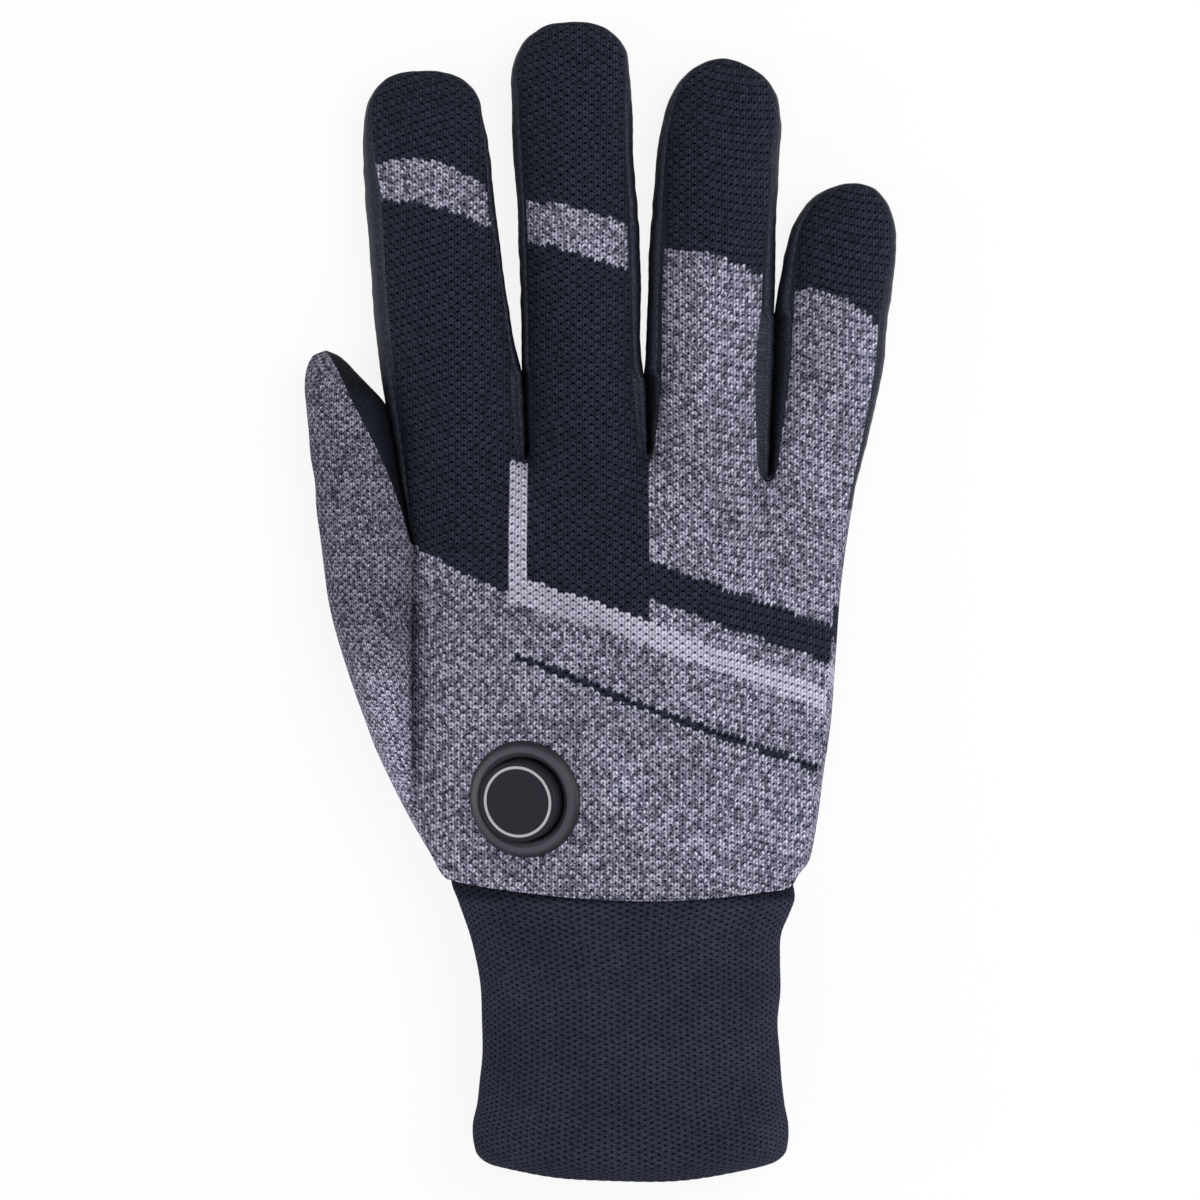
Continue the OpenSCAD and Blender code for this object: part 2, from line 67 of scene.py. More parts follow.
cam = bpy.data.objects.new("camera", bpy.data.cameras.new("camera"))
SCENE.collection.objects.link(cam)
SENSOR, EYE_MM, SEEN_MM = 36.0, 1588.0, 260.4      # the photo spans SEEN_MM at EYE_MM from the camera
cam.data.sensor_width = SENSOR
cam.data.lens = SENSOR * EYE_MM / SEEN_MM
cam.location = (0.0003, -0.0005, 1.6)
cam.rotation_euler = (0, 0, 0)
cam.data.clip_end = 20
SCENE.camera = cam
SCENE.view_settings.view_transform = "Standard"


def area(name, loc, size, energy, target=(0, 0, 0.01)):
    data = bpy.data.lights.new(name, "AREA")
    data.shape = "RECTANGLE"
    data.size, data.size_y = size
    data.energy = energy
    o = bpy.data.objects.new(name, data)
    SCENE.collection.objects.link(o)
    o.location = loc
    look(o, target)


area("key", (0.42, 0.30, 0.95), (0.6, 0.6), 5.6)
area("side_left", (-0.85, -0.10, 0.34), (0.3, 0.9), 3.8)
area("side_right", (0.85, 0.0, 0.34), (0.3, 0.9), 3.6)
area("front", (0.10, -0.8, 0.60), (0.8, 0.4), 1.9)


# ---------------------------------------------------------------- node-tree helpers
class Sock:
    """A value in a node tree; arithmetic on it adds Math nodes."""

    def __init__(self, mat, s):
        self.m, self.s = mat, s

    def _do(self, op, *others):
        return add(self.m, "Math", dict(enumerate((self,) + others)), operation=op)

    def __rsub__(self, o):
        return (self * -1.0)._do("ADD", o)

    def smooth(self, lo, hi, a=0.0, b=1.0):
        return add(self.m, "MapRange", dict(enumerate((self, lo, hi, a, b))), interpolation_type="SMOOTHSTEP")


for method, op in {
        "__add__": "ADD", "__radd__": "ADD", "__sub__": "SUBTRACT", "__mul__": "MULTIPLY",
        "__rmul__": "MULTIPLY", "__truediv__": "DIVIDE", "__gt__": "GREATER_THAN", "__lt__": "LESS_THAN",
        "max": "MAXIMUM", "min": "MINIMUM",
        "floor": "FLOOR", "fract": "FRACT", "abs": "ABSOLUTE", "sin": "SINE", "cos": "COSINE"}.items():
    setattr(Sock, method, lambda self, *others, op=op: self._do(op, *others))


def feed(m, node, inputs):
    """Fills a node's inputs, by name or number: a Sock is linked, and anything else is set as the value."""
    for key, value in inputs.items():
        if isinstance(value, Sock):
            m.node_tree.links.new(value.s, node.inputs[key])
        else:
            node.inputs[key].default_value = value


def add(m, kind, inputs=None, out=0, **settings):
    """Adds a shader node to a material or world and returns one of its outputs."""
    node = m.node_tree.nodes.new("ShaderNode" + kind)
    for key, value in settings.items():
        setattr(node, key, value)
    feed(m, node, inputs or {})
    return Sock(m, node.outputs[out])


def new_material(name):
    m = bpy.data.materials.new(name)
    m.use_nodes = True
    return m, m.node_tree.nodes["Principled BSDF"]


def vec(m, x, y, z=0.0):
    return add(m, "CombineXYZ", {0: x, 1: y, 2: z})


def split(m, v):
    """The x and y of a vector."""
    x = add(m, "SeparateXYZ", {0: v})
    return x, Sock(m, x.s.node.outputs[1])


def uv_mm(m):
    """The piece's own cloth coordinates, in millimetres."""
    u, v = split(m, add(m, "UVMap", uv_map="cloth"))
    return u * UV_MM, v * UV_MM


def object_place(m):
    return add(m, "TexCoord", out="Object")


def noise(m, v, scale, detail=2.0, rough=0.5):
    return add(m, "TexNoise", {"Vector": v, "Scale": scale, "Detail": detail, "Roughness": rough}, out="Fac")


def white(m, v):
    return add(m, "TexWhiteNoise", {"Vector": v}, out="Value", noise_dimensions="3D")


def mix(m, f, a, b):
    """Colour mix; a and b are colours or colour sockets."""
    a, b = (c if isinstance(c, Sock) else (*c, 1.0) for c in (a, b))
    return add(m, "Mix", {0: f, 6: a, 7: b}, out=2, data_type="RGBA")


def scale_colour(m, c, f):
    return add(m, "VectorMath", {0: c, 3: f}, operation="SCALE")


def bump(m, height, distance, strength=1.0):
    return add(m, "Bump", {"Strength": strength, "Distance": distance, "Height": height})


def tinted(c, f):
    """A colour made lighter or darker."""
    return tuple(f * k for k in c)


BLACK = (0.0110, 0.0128, 0.0240)
LIGHT = (0.60, 0.575, 0.73)
HEATHER = ((0.032, 0.033, 0.058), (0.215, 0.212, 0.300), (0.60, 0.59, 0.745))
WALE, COURSE, PHASE = 1.31, 0.93, 0.35


MOTTLE = 0.12            # how far a moulded surface's tone strays
YARN = {"Roughness": 0.90, "Specular IOR Level": 0.03, "Sheen Weight": 0.035}


def lattice(m, u, v, wale, course, arch, pit_size):
    """Mesh knit: stacked V stitches, with wide flat pits between them in a diamond pattern.

    Returns yarn height, pit depth and leg height (0..1), then column, row, up, side, arc and place
    across the column."""
    col = (u / wale).floor()
    fu = (u / wale).fract() - 0.5
    up = (col * 0.5).fract() * 2.0
    t = v / course + up
    arc = t + fu.abs() * arch
    row = (arc + 0.5).floor()
    yarn = (arc * TURN).cos() * 0.5 + 0.5
    leg = 0.5 - (fu * (2 * TURN)).cos() * 0.5
    dx = fu * wale
    dy = (((t + 0.5) * 0.5).fract() - 0.5) * (2 * course)
    pit = (dx * dx * 0.8 + dy * dy * 1.8).smooth(0.01, pit_size, 1.0, 0.0)
    return yarn, pit, leg, col, row, up, fu > 0.0, arc, fu


def shear(x, on_finger):
    """The courses climb towards both edges of the hand, and a little towards both edges of each finger."""
    smile = ((x + 30.0) / 13.0).max(0.0)
    for left, mid, half in ((-17.0, -2.7, 12.7), (10.0, 24.0, 14.0), (38.0, 52.0, 14.0)):
        arch = (x - mid) / half
        smile = smile + (arch - smile) * (x > left)
    return (x + 32.0).min(0.0) * 0.36 - (x - 24.0).max(0.0) * 0.45 - smile * smile * on_finger * 2.4


def knit(name, zones, painted_shade_level=1.0, gauge=1.0):
    """Jacquard or plain heather knit; the colour of every stitch is decided at the stitch's middle."""
    m, b = new_material(name)
    u0, v0 = uv_mm(m)
    flat_p = vec(m, u0, v0)
    u = u0 + (noise(m, flat_p, 0.05, 1.0) - 0.5) * 0.5
    v = v0 + (noise(m, vec(m, v0, u0, 3.0), 0.05, 1.0) - 0.5) * 1.6
    u = u + (noise(m, vec(m, u0, v0, 7.0), 0.55, 1.0) - 0.5) * 0.16
    v = v + (noise(m, vec(m, u0, v0, 8.0), 0.60, 1.0) - 0.5) * 0.16
    if zones:
        on_finger = v0.smooth(-12.0, 26.0)
        v = v + shear(u, on_finger)
    yarn, pit, leg, col, row, up, side, arc, fu = lattice(
        m, u - PHASE, v, WALE * gauge, COURSE * gauge, 0.95, 0.22)
    cell = vec(m, col, row, side)
    r1 = white(m, cell)
    r2 = white(m, vec(m, col + 0.5, (row * 0.5).floor() + 9.5, 2.5))
    fine = noise(m, vec(m, u * 0.75, arc * 1.6), 2.5, 2.0, 0.6)
    tone = r1 * 0.52 + r2 * 0.04 + fine.smooth(0.36, 0.64) * 0.44
    dark_mid = mix(m, tone.smooth(0.16, 0.46), HEATHER[0], HEATHER[1])
    heather = mix(m, tone.smooth(0.47, 0.80), dark_mid, HEATHER[2])
    blotch = noise(m, flat_p, 0.05, 2.0).smooth(0.3, 0.7, 0.90, 1.10)
    if not zones:      # painted light: the thumb cloth is made paler towards the heel of the hand, up to twice as bright
        blotch = blotch * v0.smooth(-30.0, 4.0, 2.0, 1.0)
    heather = scale_colour(m, heather, blotch * painted_shade_level)
    colour, black, pale = heather, 0.0, 0.0
    if zones:
        x = (col + 0.5) * WALE + PHASE
        y = (row - up) * COURSE - shear(x, on_finger)

        def q(a, bb, c):
            return (x * a + bb) * x + c

        def above(a, bb, c):
            return y > q(a, bb, c)

        def below(a, bb, c):
            return y < q(a, bb, c)

        index = (x < -18.9) * (y < 30.0) * above(0.00443, -0.2418, -5.2414)
        index = index.max((x < -16.9) * (y > 29.9))
        index_band = (x < -19.5) * below(-0.01916, -1.62307, 60.939) * above(-0.01047, -0.9822, 63.06)
        middle = (x > -15.0) * (x < 10.9) * (y < 30.0) * above(-0.0003, -0.3638, -1.0)
        middle = middle.max((x > -20.0) * (x < 10.4) * (y > 29.9))
        middle_band = (x > -18.4) * (x < 9.5) * below(-0.00722, -0.31068, 83.227)
        middle_band = middle_band * above(-0.00602, -0.33943, 73.394)
        bar = (x > 10.8) * (x < 53) * below(0.00017, -0.37965, 12.4686) * above(0.00069, -0.40245, 4.33)
        ring = (x > 9.9) * (x < 38.9) * above(-0.01167, 0.286, 74.199)
        little = (x > 38.5) * above(-0.02749, 2.39257, 15.0456) * (y > 48.0)
        line = (x > -17.6) * (x < 50) * above(0.00046, -0.39123, -20.1) * below(0.00046, -0.39123, -18.5)
        black = (index * (1.0 - index_band)).max(middle) * (1.0 - middle_band)
        black = black.max(bar).max(ring).max(little).max(line)
        pale_v = (x > -19.0) * (x < -14.9) * (y < 30.0) * above(-0.00053, -0.33225, -6.576)
        pale_d = (x > -19.0) * (x < 54.0) * below(-0.00026, -0.36379, -0.867)
        pale_d = pale_d * above(-0.00053, -0.33225, -6.576)
        pale = pale_v.max(pale_d) * (1.0 - black)
        pale_tone = scale_colour(m, mix(m, 0.0, LIGHT, LIGHT), r1 * 0.30 + 0.84)
        black_tone = mix(m, fine.smooth(0.25, 0.75), BLACK, (0.0300, 0.0335, 0.0535))
        # random brightness per black stitch: partly tone that differs at random, partly painted glints of the
        # yarn
        black_tone = scale_colour(m, black_tone, r1 * 0.74 + 0.78)
        colour = mix(m, pale, heather, pale_tone)
        colour = mix(m, black, colour, black_tone)
    stacked = (yarn - 0.5) * (0.60 - black * 0.22 - pale * 0.14) + 1.0
    legs = (leg - 0.5) * (0.78 - black * 0.22 - pale * 0.20) + 1.0
    across = (fu * TURN).cos() * (0.14 + black * 0.06) + 1.0
    shade = stacked * legs * across * (1.0 - pit * (0.78 + black * 0.20)) * (0.80 + black * 0.07)
    fuzz = noise(m, vec(m, u, v, 5.0), 4.5, 2.0)
    feed(m, b, {**YARN, "Sheen Roughness": 0.40, "Sheen Tint": (0.75, 0.78, 1.0, 1),
                "Base Color": scale_colour(m, colour, shade),
                "Normal": bump(m, yarn * 0.40 + leg * 0.30 - pit + fuzz * 0.25, 0.00040, 0.95)})
    return m


RIB_W, RIB_C = 1.356, 0.6235


def rib(name):
    """Fine tuck rib of the cuff."""
    m, b = new_material(name)
    u, v = uv_mm(m)
    warp = (noise(m, vec(m, u, v, 6.0), 0.5, 1.0) - 0.5) * 0.16
    yarn, pit, leg, col, row, _, side, _, fu = lattice(m, u + warp, v + warp, RIB_W, RIB_C, 0.75, 0.22)
    r1 = white(m, vec(m, col, row, side))
    fine = noise(m, vec(m, u, v), 2.2, 2.0).smooth(0.28, 0.72)
    tone = mix(m, r1 * 0.45 + fine * 0.55, (0.0135, 0.0150, 0.0290), (0.0440, 0.0475, 0.0780))
    blotch = noise(m, vec(m, u, v), 0.06, 2.0).smooth(0.3, 0.7, 0.88, 1.12)
    # painted shadow: the rib is darkened towards its top, under and just below the hem of the knit panel
    hem = v.smooth(-9.8, -7.8, 1.0, 0.45)
    across = (fu * TURN).cos() * 0.08 + 1.0
    shade = (yarn * 0.06 + leg * 0.10 + 0.84) * across * (1.0 - pit * 0.82) * blotch * hem
    fuzz = noise(m, vec(m, u, v, 4.0), 5.0, 2.0)
    feed(m, b, {**YARN, "Sheen Roughness": 0.45, "Sheen Tint": (0.7, 0.75, 1.0, 1),
                "Base Color": scale_colour(m, tone, shade),
                "Normal": bump(m, yarn * 0.1 + leg * 0.2 - pit + fuzz * 0.25, 0.00030, 0.8)})
    return m


def leather(name, level=1.0):
    """Soft creased hide. The slot map is 1 deep between two fingers, where the leather is darkened with painted
    shade.
    """
    m, b = new_material(name)
    u, v = uv_mm(m)
    cells = add(m, "TexVoronoi", {"Vector": vec(m, u, v), "Scale": 1.35}, out="Distance",
                feature="DISTANCE_TO_EDGE").smooth(0.0, 0.16)
    crease = noise(m, vec(m, u * 0.5, v), 0.9, 4.0, 0.6)
    wrinkle = noise(m, vec(m, u, v * 0.6, 2.0), 0.28, 3.0, 0.55)
    tone = mix(m, crease, (0.0070, 0.0082, 0.0150), (0.0215, 0.0240, 0.0390))
    # painted shade: the leather is darkened deep in the slot between two fingers
    painted_slot_shade = 1.0 - split(m, add(m, "UVMap", uv_map="slot"))[0] * 0.80
    feed(m, b, {"Base Color": scale_colour(m, tone, (cells * 0.3 + 0.7) * painted_slot_shade * level),
                "Roughness": crease * 0.22 + 0.38,
                "Normal": bump(m, cells * 0.35 + crease * 0.9 + wrinkle * 1.6, 0.00028, 0.8),
                "Specular IOR Level": 0.34 * level, "Specular Tint": (0.74, 0.80, 1.0, 1)})
    return m


def fleece(name, c=(0.035, 0.036, 0.045)):
    m, b = new_material(name)
    n1 = noise(m, vec(m, *uv_mm(m)), 1.3, 4.0, 0.65)
    feed(m, b, {"Base Color": mix(m, n1, tinted(c, 0.6), tinted(c, 1.6)), "Normal": bump(m, n1, 0.0006, 0.9),
                "Roughness": 0.95, "Sheen Weight": 0.5, "Sheen Roughness": 0.5})
    return m


def moulded(name, c, rough, grain=0.00002, scale=900.0, spec=0.5):
    """Moulded rubber or plastic, on object coordinates: a fine spark texture and slight mottling."""
    m, b = new_material(name)
    p = object_place(m)
    n1, n2 = noise(m, p, scale, 2.0), noise(m, p, scale * 0.12, 3.0)
    feed(m, b, {"Base Color": mix(m, n2, tinted(c, 1 - MOTTLE), tinted(c, 1 + MOTTLE)),
                "Roughness": n2 * 0.12 + (rough - 0.06), "Normal": bump(m, n1, grain, 0.6),
                "Specular IOR Level": spec})
    return m


def painted_crest_highlight(name, dark, light, crest, width):
    """Moulded rubber of a turned piece, with a painted highlight: paler along its crest and darker away from
    it; v runs along the profile.
    """
    m = moulded(name, light, 0.50, grain=0.00003, spec=0.35)
    v = uv_mm(m)[1]
    b = m.node_tree.nodes["Principled BSDF"]
    base = Sock(m, b.inputs["Base Color"].links[0].from_socket)
    away = (v - crest).abs().smooth(width * 0.35, width, 1.0, 0.0)
    feed(m, b, {"Base Color": mix(m, away, dark, base)})
    return m


def metal(name, c, rough):
    m, b = new_material(name)
    n1 = noise(m, object_place(m), 1500.0, 2.0)
    feed(m, b, {"Base Color": mix(m, n1, tinted(c, 0.85), c), "Roughness": n1 * 0.2 + rough, "Metallic": 1.0})
    return m


def thread(name):
    """Spun sewing thread: fine slanting plies."""
    m, b = new_material(name)
    u, v = uv_mm(m)
    ply = ((u + v) * 14.0).sin() * 0.5 + 0.5
    feed(m, b, {"Base Color": mix(m, ply, (0.014, 0.015, 0.024), (0.050, 0.053, 0.075)),
                "Normal": bump(m, ply, 0.00005, 0.8), "Roughness": 0.62})
    return m


def woven(name, c):
    """Plain woven tape, on object coordinates in millimetres."""
    m, b = new_material(name)
    x, y = (k * 1000.0 for k in split(m, object_place(m)))
    h = (x * 12.0).sin() * (y * 12.0).sin() * 0.5 + 0.5
    feed(m, b, {"Base Color": mix(m, h, tinted(c, 0.7), c), "Normal": bump(m, h, 0.00008, 0.7),
                "Roughness": 0.9})
    return m


KNIT = knit("jacquard_knit", True)
# painted shade: the thumb's heather is made darker, to 0.70 of the back's, where it tilts away beside the index
# finger
GREY = knit("heather_knit", False, 0.70, 0.86)
RIB = rib("cuff_rib")
LEATHER = leather("glove_leather")
SUEDE = leather("thumb_suede", 0.45)
FLEECE = fleece("fleece_lining")
PLASTIC = moulded("puck_plastic", (0.0100, 0.0105, 0.0140), 0.50, spec=0.25)
FACE = moulded("cap_face", (0.0125, 0.0135, 0.0210), 0.62, spec=0.20)
RING = moulded("ring_white", (0.42, 0.42, 0.44), 0.5, spec=0.3)
GRIP = moulded("grip_silicone", (0.030, 0.030, 0.034), 0.38, grain=0.00004, scale=600)

# ---------------------------------------------------------------- outlines, in millimetres
# Each row: knit edge x, y; silhouette x, y (y left out where it is the same); height of the knit edge. From the
# thumb crotch, over the four fingers, down the little-finger edge to the wrist.
RAIL = [
    (-39.8, 11.4, -39.95, 11.3, 15), (-40.2, 14.5, -41.1, 14.5), (-40.7, 19, -42, 14.2),
    (-41.3, 25.5, -43.2, 13.6), (-42.4, 36.3, -45.2, 36, 13.3), (-44.8, 53.7, -48, 13.2),
    (-46.1, 68.9, -49.3, 13.2), (-47.2, 86.3, -50.6, 13), (-48.5, 94.9, -51.2, 95, 12.6),
    (-49.1, 103, -50.9, 103.6, 12), (-48.2, 108.5, -49.4, 109.2, 11.2), (-44.9, 112.7, -45.3, 113.5, 10.6),
    (-38.3, 113.8, -38.3, 114.6, 10.2), (-31.4, 112.8, -31, 113.5, 10.6), (-27.1, 108.8, -26.5, 109.4, 11.2),
    (-25.6, 103.2, -25.1, 103.6, 12), (-24.6, 95, -23.6, 12.6), (-24, 85.2, -22.6, 13),
    (-22, 73.2, -21.1, 13.2), (-19.9, 57.5, -18.8, 13.3), (-19.2, 49, -16.9, 13.4), (-18.6, 40, -16.5, 13.8),
    (-18.1, 33.3, -16.15, 34, 14.4), (-17.4, 30.3, -16.2, 31.8, 14.7), (-16, 28.9, -16.05, 30.6, 14.8),
    (-14.8, 30.2, -15.9, 31.8, 14.7), (-14.4, 33.3, -15.95, 34, 14.4), (-14.6, 42.9, -16.4, 13.6),
    (-14.8, 50, -16.65, 13.4), (-14.9, 58, -16.7, 13.3), (-15.3, 73.2, -17.2, 13.2), (-15.7, 85, -17.6, 13.1),
    (-16.2, 94.9, -18.4, 12.9), (-17, 108, -18.9, 12.5), (-17.5, 114, -18.8, 114.2, 11.9),
    (-16, 119, -17, 119.7, 11.2), (-11.9, 123.4, -12.3, 124.1, 10.6), (-5.9, 124.6, -5.7, 125.35, 10.2),
    (0.8, 123.3, 1.1, 124, 10.6), (4.8, 119.1, 5.6, 119.8, 11.2), (5.6, 113.6, 6.7, 114, 11.9),
    (5.2, 106, 7.2, 12.6), (5.5, 94.9, 7.6, 12.9), (6.2, 84, 8.4, 13.1), (6.4, 73.2, 9.1, 13.2),
    (7, 57, 9, 13.3), (7.3, 49, 9.7, 48.6, 13.4), (8, 41, 10.1, 13.6), (8.6, 34.5, 10.35, 35.2, 14.3),
    (9.1, 31.4, 10.4, 32.8, 14.7), (10.4, 29.7, 10.5, 31.4, 14.8), (11.8, 31.4, 10.6, 32.8, 14.7),
    (12.3, 34.5, 10.5, 35.2, 14.3), (13.2, 41.5, 10.2, 13.6), (13.5, 47, 9.95, 47.5, 13.45),
    (13.8, 54, 10.4, 13.3), (13.8, 64.6, 10.7, 65, 13.2), (14.3, 77, 11.2, 13.1), (14.7, 88, 12, 13),
    (15.1, 97.1, 13, 97.5, 12.8), (16.1, 104, 14.1, 104.2, 12.2), (17.9, 109.2, 16.2, 110, 11.4),
    (21, 114, 20.4, 114.9, 10.7), (26.9, 116.6, 26.8, 117.35, 10.2), (32.8, 114.6, 33.1, 115.4, 10.7),
    (37, 110, 37.9, 110.8, 11.4), (38.2, 104, 39.6, 12.2), (37.5, 97.1, 39.4, 12.8), (36.8, 86.3, 38.7, 13),
    (35.7, 74, 38.4, 13.1), (35.3, 63, 38.1, 13.2), (34.2, 52, 37.7, 13.3), (34, 42, 37.3, 13.5),
    (34.3, 33.5, 37, 33.8, 14.2), (34.5, 29, 36.8, 30.4, 14.5), (35.1, 26.3, 36.7, 28.2, 14.7),
    (36.6, 25, 36.75, 27.2, 14.8), (38.2, 26.3, 36.85, 28.2, 14.7), (38.9, 29.2, 36.9, 30.4, 14.5),
    (39.5, 33.6, 37, 33.8, 14), (40.6, 42, 37.4, 13.2), (41.7, 51, 37.8, 12.9), (42.2, 60, 38.25, 60.5, 12.8),
    (42.7, 67, 39.2, 67.3, 12.7), (43.5, 75, 40.7, 75.3, 12.3), (45, 81, 43, 82, 11.6),
    (48.6, 86.4, 47.4, 87.6, 10.6), (54.5, 89.2, 54.8, 90.2, 10), (60, 87.2, 60.9, 88.2, 10.6),
    (63, 81.6, 64.3, 82, 11.5), (63.5, 75.5, 64.6, 76, 12.2), (62.4, 68.9, 64, 12.6), (60.9, 60, 62.8, 12.8),
    (60.1, 51.5, 62, 13), (58.8, 42.9, 60.4, 13.3), (57.1, 34.2, 58.4, 13.8), (55.4, 26.5, 56.3, 14.3),
    # the knit itself wraps round this edge
    (53.8, 19, 55, 15), (52.3, 10, 53.6, 16), (51.1, 0, 52.4, 16.6), (50, -14, 51.4, 17.2),
    (48.9, -27, 50.4, 17.8), (47.2, -38, 48.8, 18.4), (45.7, -48, 47.5, 18.9), (44.2, -56, 46, 19.3),
    (42.7, -60.8, 44.1, 20.6)]
RAIL = [r if len(r) == 5 else (*r[:3], r[1], r[3]) for r in RAIL]
WALL_END = len(RAIL) - 9      # rail point where leather gives way to knit
TIPS = [RAIL.index(r) for r in RAIL if r[:2] in ((-38.3, 113.8), (-5.9, 124.6), (26.9, 116.6), (54.5, 89.2))]
CROTCHES = [RAIL.index(r) for r in RAIL if r[:2] in ((-16.0, 28.9), (10.4, 29.7), (36.6, 25.0))]
CLOSED = (49.5, 48.5, 61.5)   # below this, neighbouring fingers' walls lean on each other
WRIST = [
    (41.0, -62.7, 22.6), (36.0, -63.4, 26.4), (28.5, -64.2, 29.6), (22.0, -64.8, 31.3), (13.0, -65.1, 32.6),
    (4.7, -65.0, 32.8), (-3.0, -64.6, 32.2), (-8.4, -64.2, 31.2), (-17.0, -63.3, 28.8),
    (-25.7, -62.2, 25.2), (-31.0, -61.2, 21.3), (-33.8, -60.0, 17.6)]
VALLEY = [
    (-37.4, -53.0, 18.6), (-39.9, -45.0, 19.8), (-40.5, -34.0, 20.6), (-40.6, -20.0, 20.4),
    (-40.5, -6.0, 19.2), (-40.2, 4.0, 17.4)]
N_WRIST = len(WRIST)


def spline(points, per):
    """Open uniform Catmull-Rom curve through rows of numbers, with a sample about every per millimetres."""
    p = np.array(points, float)
    n = len(p)
    out, ks = [], []
    for i in range(n - 1):
        a, b, c, d = p[max(i - 1, 0)], p[i], p[i + 1], p[min(i + 2, n - 1)]
        m = max(1, int(round(np.hypot(*(c[:2] - b[:2])) / per)))
        for j in range(m):
            t = j / m
            out.append(0.5 * ((2 * b) + (c - a) * t + (2 * a - 5 * b + 4 * c - d) * t * t
                              + (3 * b - a - 3 * c + d) * t ** 3))
            ks.append(i + t)
    return np.array(out + [p[-1]]), np.array(ks + [n - 1.0])


rail, rail_k = spline(RAIL, 0.72)
crotch_d = np.min([np.abs(rail_k - c) for c in CROTCHES], axis=0)
ease = np.clip((crotch_d - 1.0) / 3.0, 0.06, 1.0)[:, None]
# Taubin smoothing of the outline, held back at the crotches
for _ in range(16):
    for amount in (0.55, -0.57):
        rail[1:-1] += amount * ease[1:-1] * ((rail[:-2] + rail[2:]) / 2 - rail[1:-1])
tip_d = np.min([np.abs(rail_k - c) for c in TIPS], axis=0)
at_tip = np.clip(1 - (tip_d - 0.8) / 2.2, 0, 1)[:, None]
# the knit comes nearer to the edge at a fingertip
rail[:, :2] += (rail[:, 2:4] - rail[:, :2]) * 0.35 * at_tip
rest = [(*RAIL[-1][:2], RAIL[-1][4])] + WRIST + VALLEY + [(*RAIL[0][:2], RAIL[0][4])]
back, back_k = spline(rest, 0.9)
outline = np.vstack([rail[:, :2], back[1:-1, :2]])
edge_z = np.concatenate([rail[:, 4], back[1:-1, 2]])
N_RAIL = len(rail)
N_OUT = len(outline)


def inside(points, poly):
    x, y = points[:, 0], points[:, 1]
    hit = np.zeros(len(points), bool)
    j = len(poly) - 1
    for i in range(len(poly)):
        xi, yi, xj, yj = *poly[i], *poly[j]
        if yi != yj:
            cond = (yi > y) != (yj > y)
            hit ^= cond & (x < (xj - xi) * (y - yi) / (yj - yi) + xi)
        j = i
    return hit


def flat_tree(points):
    """Nearest-point search in plan; a hit's [1] is its number and [2] its distance."""
    tree = KDTree(len(points))
    for i, q in enumerate(points):
        tree.insert((q[0], q[1], 0), i)
    tree.balance()
    return lambda q: tree.find((q[0], q[1], 0))


hit_edge = flat_tree(outline)
PITCH = 1.0                   # of the mesh inside the outline
gx, gy = np.meshgrid(np.arange(-52, 67, PITCH), np.arange(-67, 127, PITCH * 0.866), indexing="xy")
gx = gx + (np.arange(gx.shape[0]) % 2)[:, None] * 0.5 * PITCH
grid = np.stack([gx.ravel(), gy.ravel()], 1)
grid = grid[inside(grid, outline)]
far = np.array([hit_edge(q)[2] for q in grid])
grid = grid[far > 0.55]
allp = np.vstack([outline, grid])
edges = [(i, (i + 1) % N_OUT) for i in range(N_OUT)]
cv, _, cf, ov, _, _ = delaunay_2d_cdt([Vector(q) for q in allp], edges, [], 1, 1e-6)
P = np.array([tuple(v) for v in cv])
F = np.array([tuple(f) for f in cf if len(f) == 3])
first = np.array([o[0] if o else -1 for o in ov])
cen = P[F].mean(1)
F = F[inside(cen, outline)]
e1, e2 = P[F[:, 1]] - P[F[:, 0]], P[F[:, 2]] - P[F[:, 0]]
cr = e1[:, 0] * e2[:, 1] - e1[:, 1] * e2[:, 0]
F = F[np.abs(cr) > 1e-5]
cr = cr[np.abs(cr) > 1e-5]
F[cr < 0] = F[cr < 0][:, ::-1]
on_edge = (first >= 0) & (first < N_OUT)
dist = np.array([hit_edge(q)[2] for q in P])
dist[on_edge] = 0.0


def membrane(z_edge, source):
    """Height of a stretched sheet over the outline: fixed at the edge and pushed up by source (1/mm).

    A cotangent-weight Poisson problem, solved by preconditioned conjugate gradients."""
    n = len(P)
    a, b, c = P[F[:, 0]], P[F[:, 1]], P[F[:, 2]]
    area2 = np.abs((b - a)[:, 0] * (c - a)[:, 1] - (b - a)[:, 1] * (c - a)[:, 0])
    cots = []
    for (p, q, r) in ((a, b, c), (b, c, a), (c, a, b)):
        cots.append(((q - p) * (r - p)).sum(1) / area2)
    I = np.concatenate([F[:, 1], F[:, 2], F[:, 0]])
    J = np.concatenate([F[:, 2], F[:, 0], F[:, 1]])
    W = 0.5 * np.concatenate(cots)
    I, J, W = np.concatenate([I, J]), np.concatenate([J, I]), np.concatenate([W, W])
    diag = np.bincount(I, W, n)
    lump = np.bincount(F.ravel(), np.repeat(area2 / 6, 3), n)
    free = ~on_edge
    z = np.zeros(n)
    z[on_edge] = z_edge[first[on_edge]]
    rhs = lump * source

    def K(x):
        return diag * x - np.bincount(I, W * x[J], n)

    r = np.where(free, rhs - K(z), 0.0)
    m = np.where(free, 1 / np.maximum(diag, 1e-9), 0.0)
    p = m * r
    rz = (r * p).sum()
    d = p.copy()
    for _ in range(900):
        pull = np.where(free, K(d), 0.0)
        alpha = rz / (d * pull).sum()
        z += alpha * d
        r -= alpha * pull
        q = m * r
        new = (r * q).sum()
        if new < 1e-9:
            break
        d = q + new / rz * d
        rz = new
    return z


def sstep(x, lo, hi):
    t = np.clip((x - lo) / (hi - lo), 0, 1)
    return t * t * (3 - 2 * t)


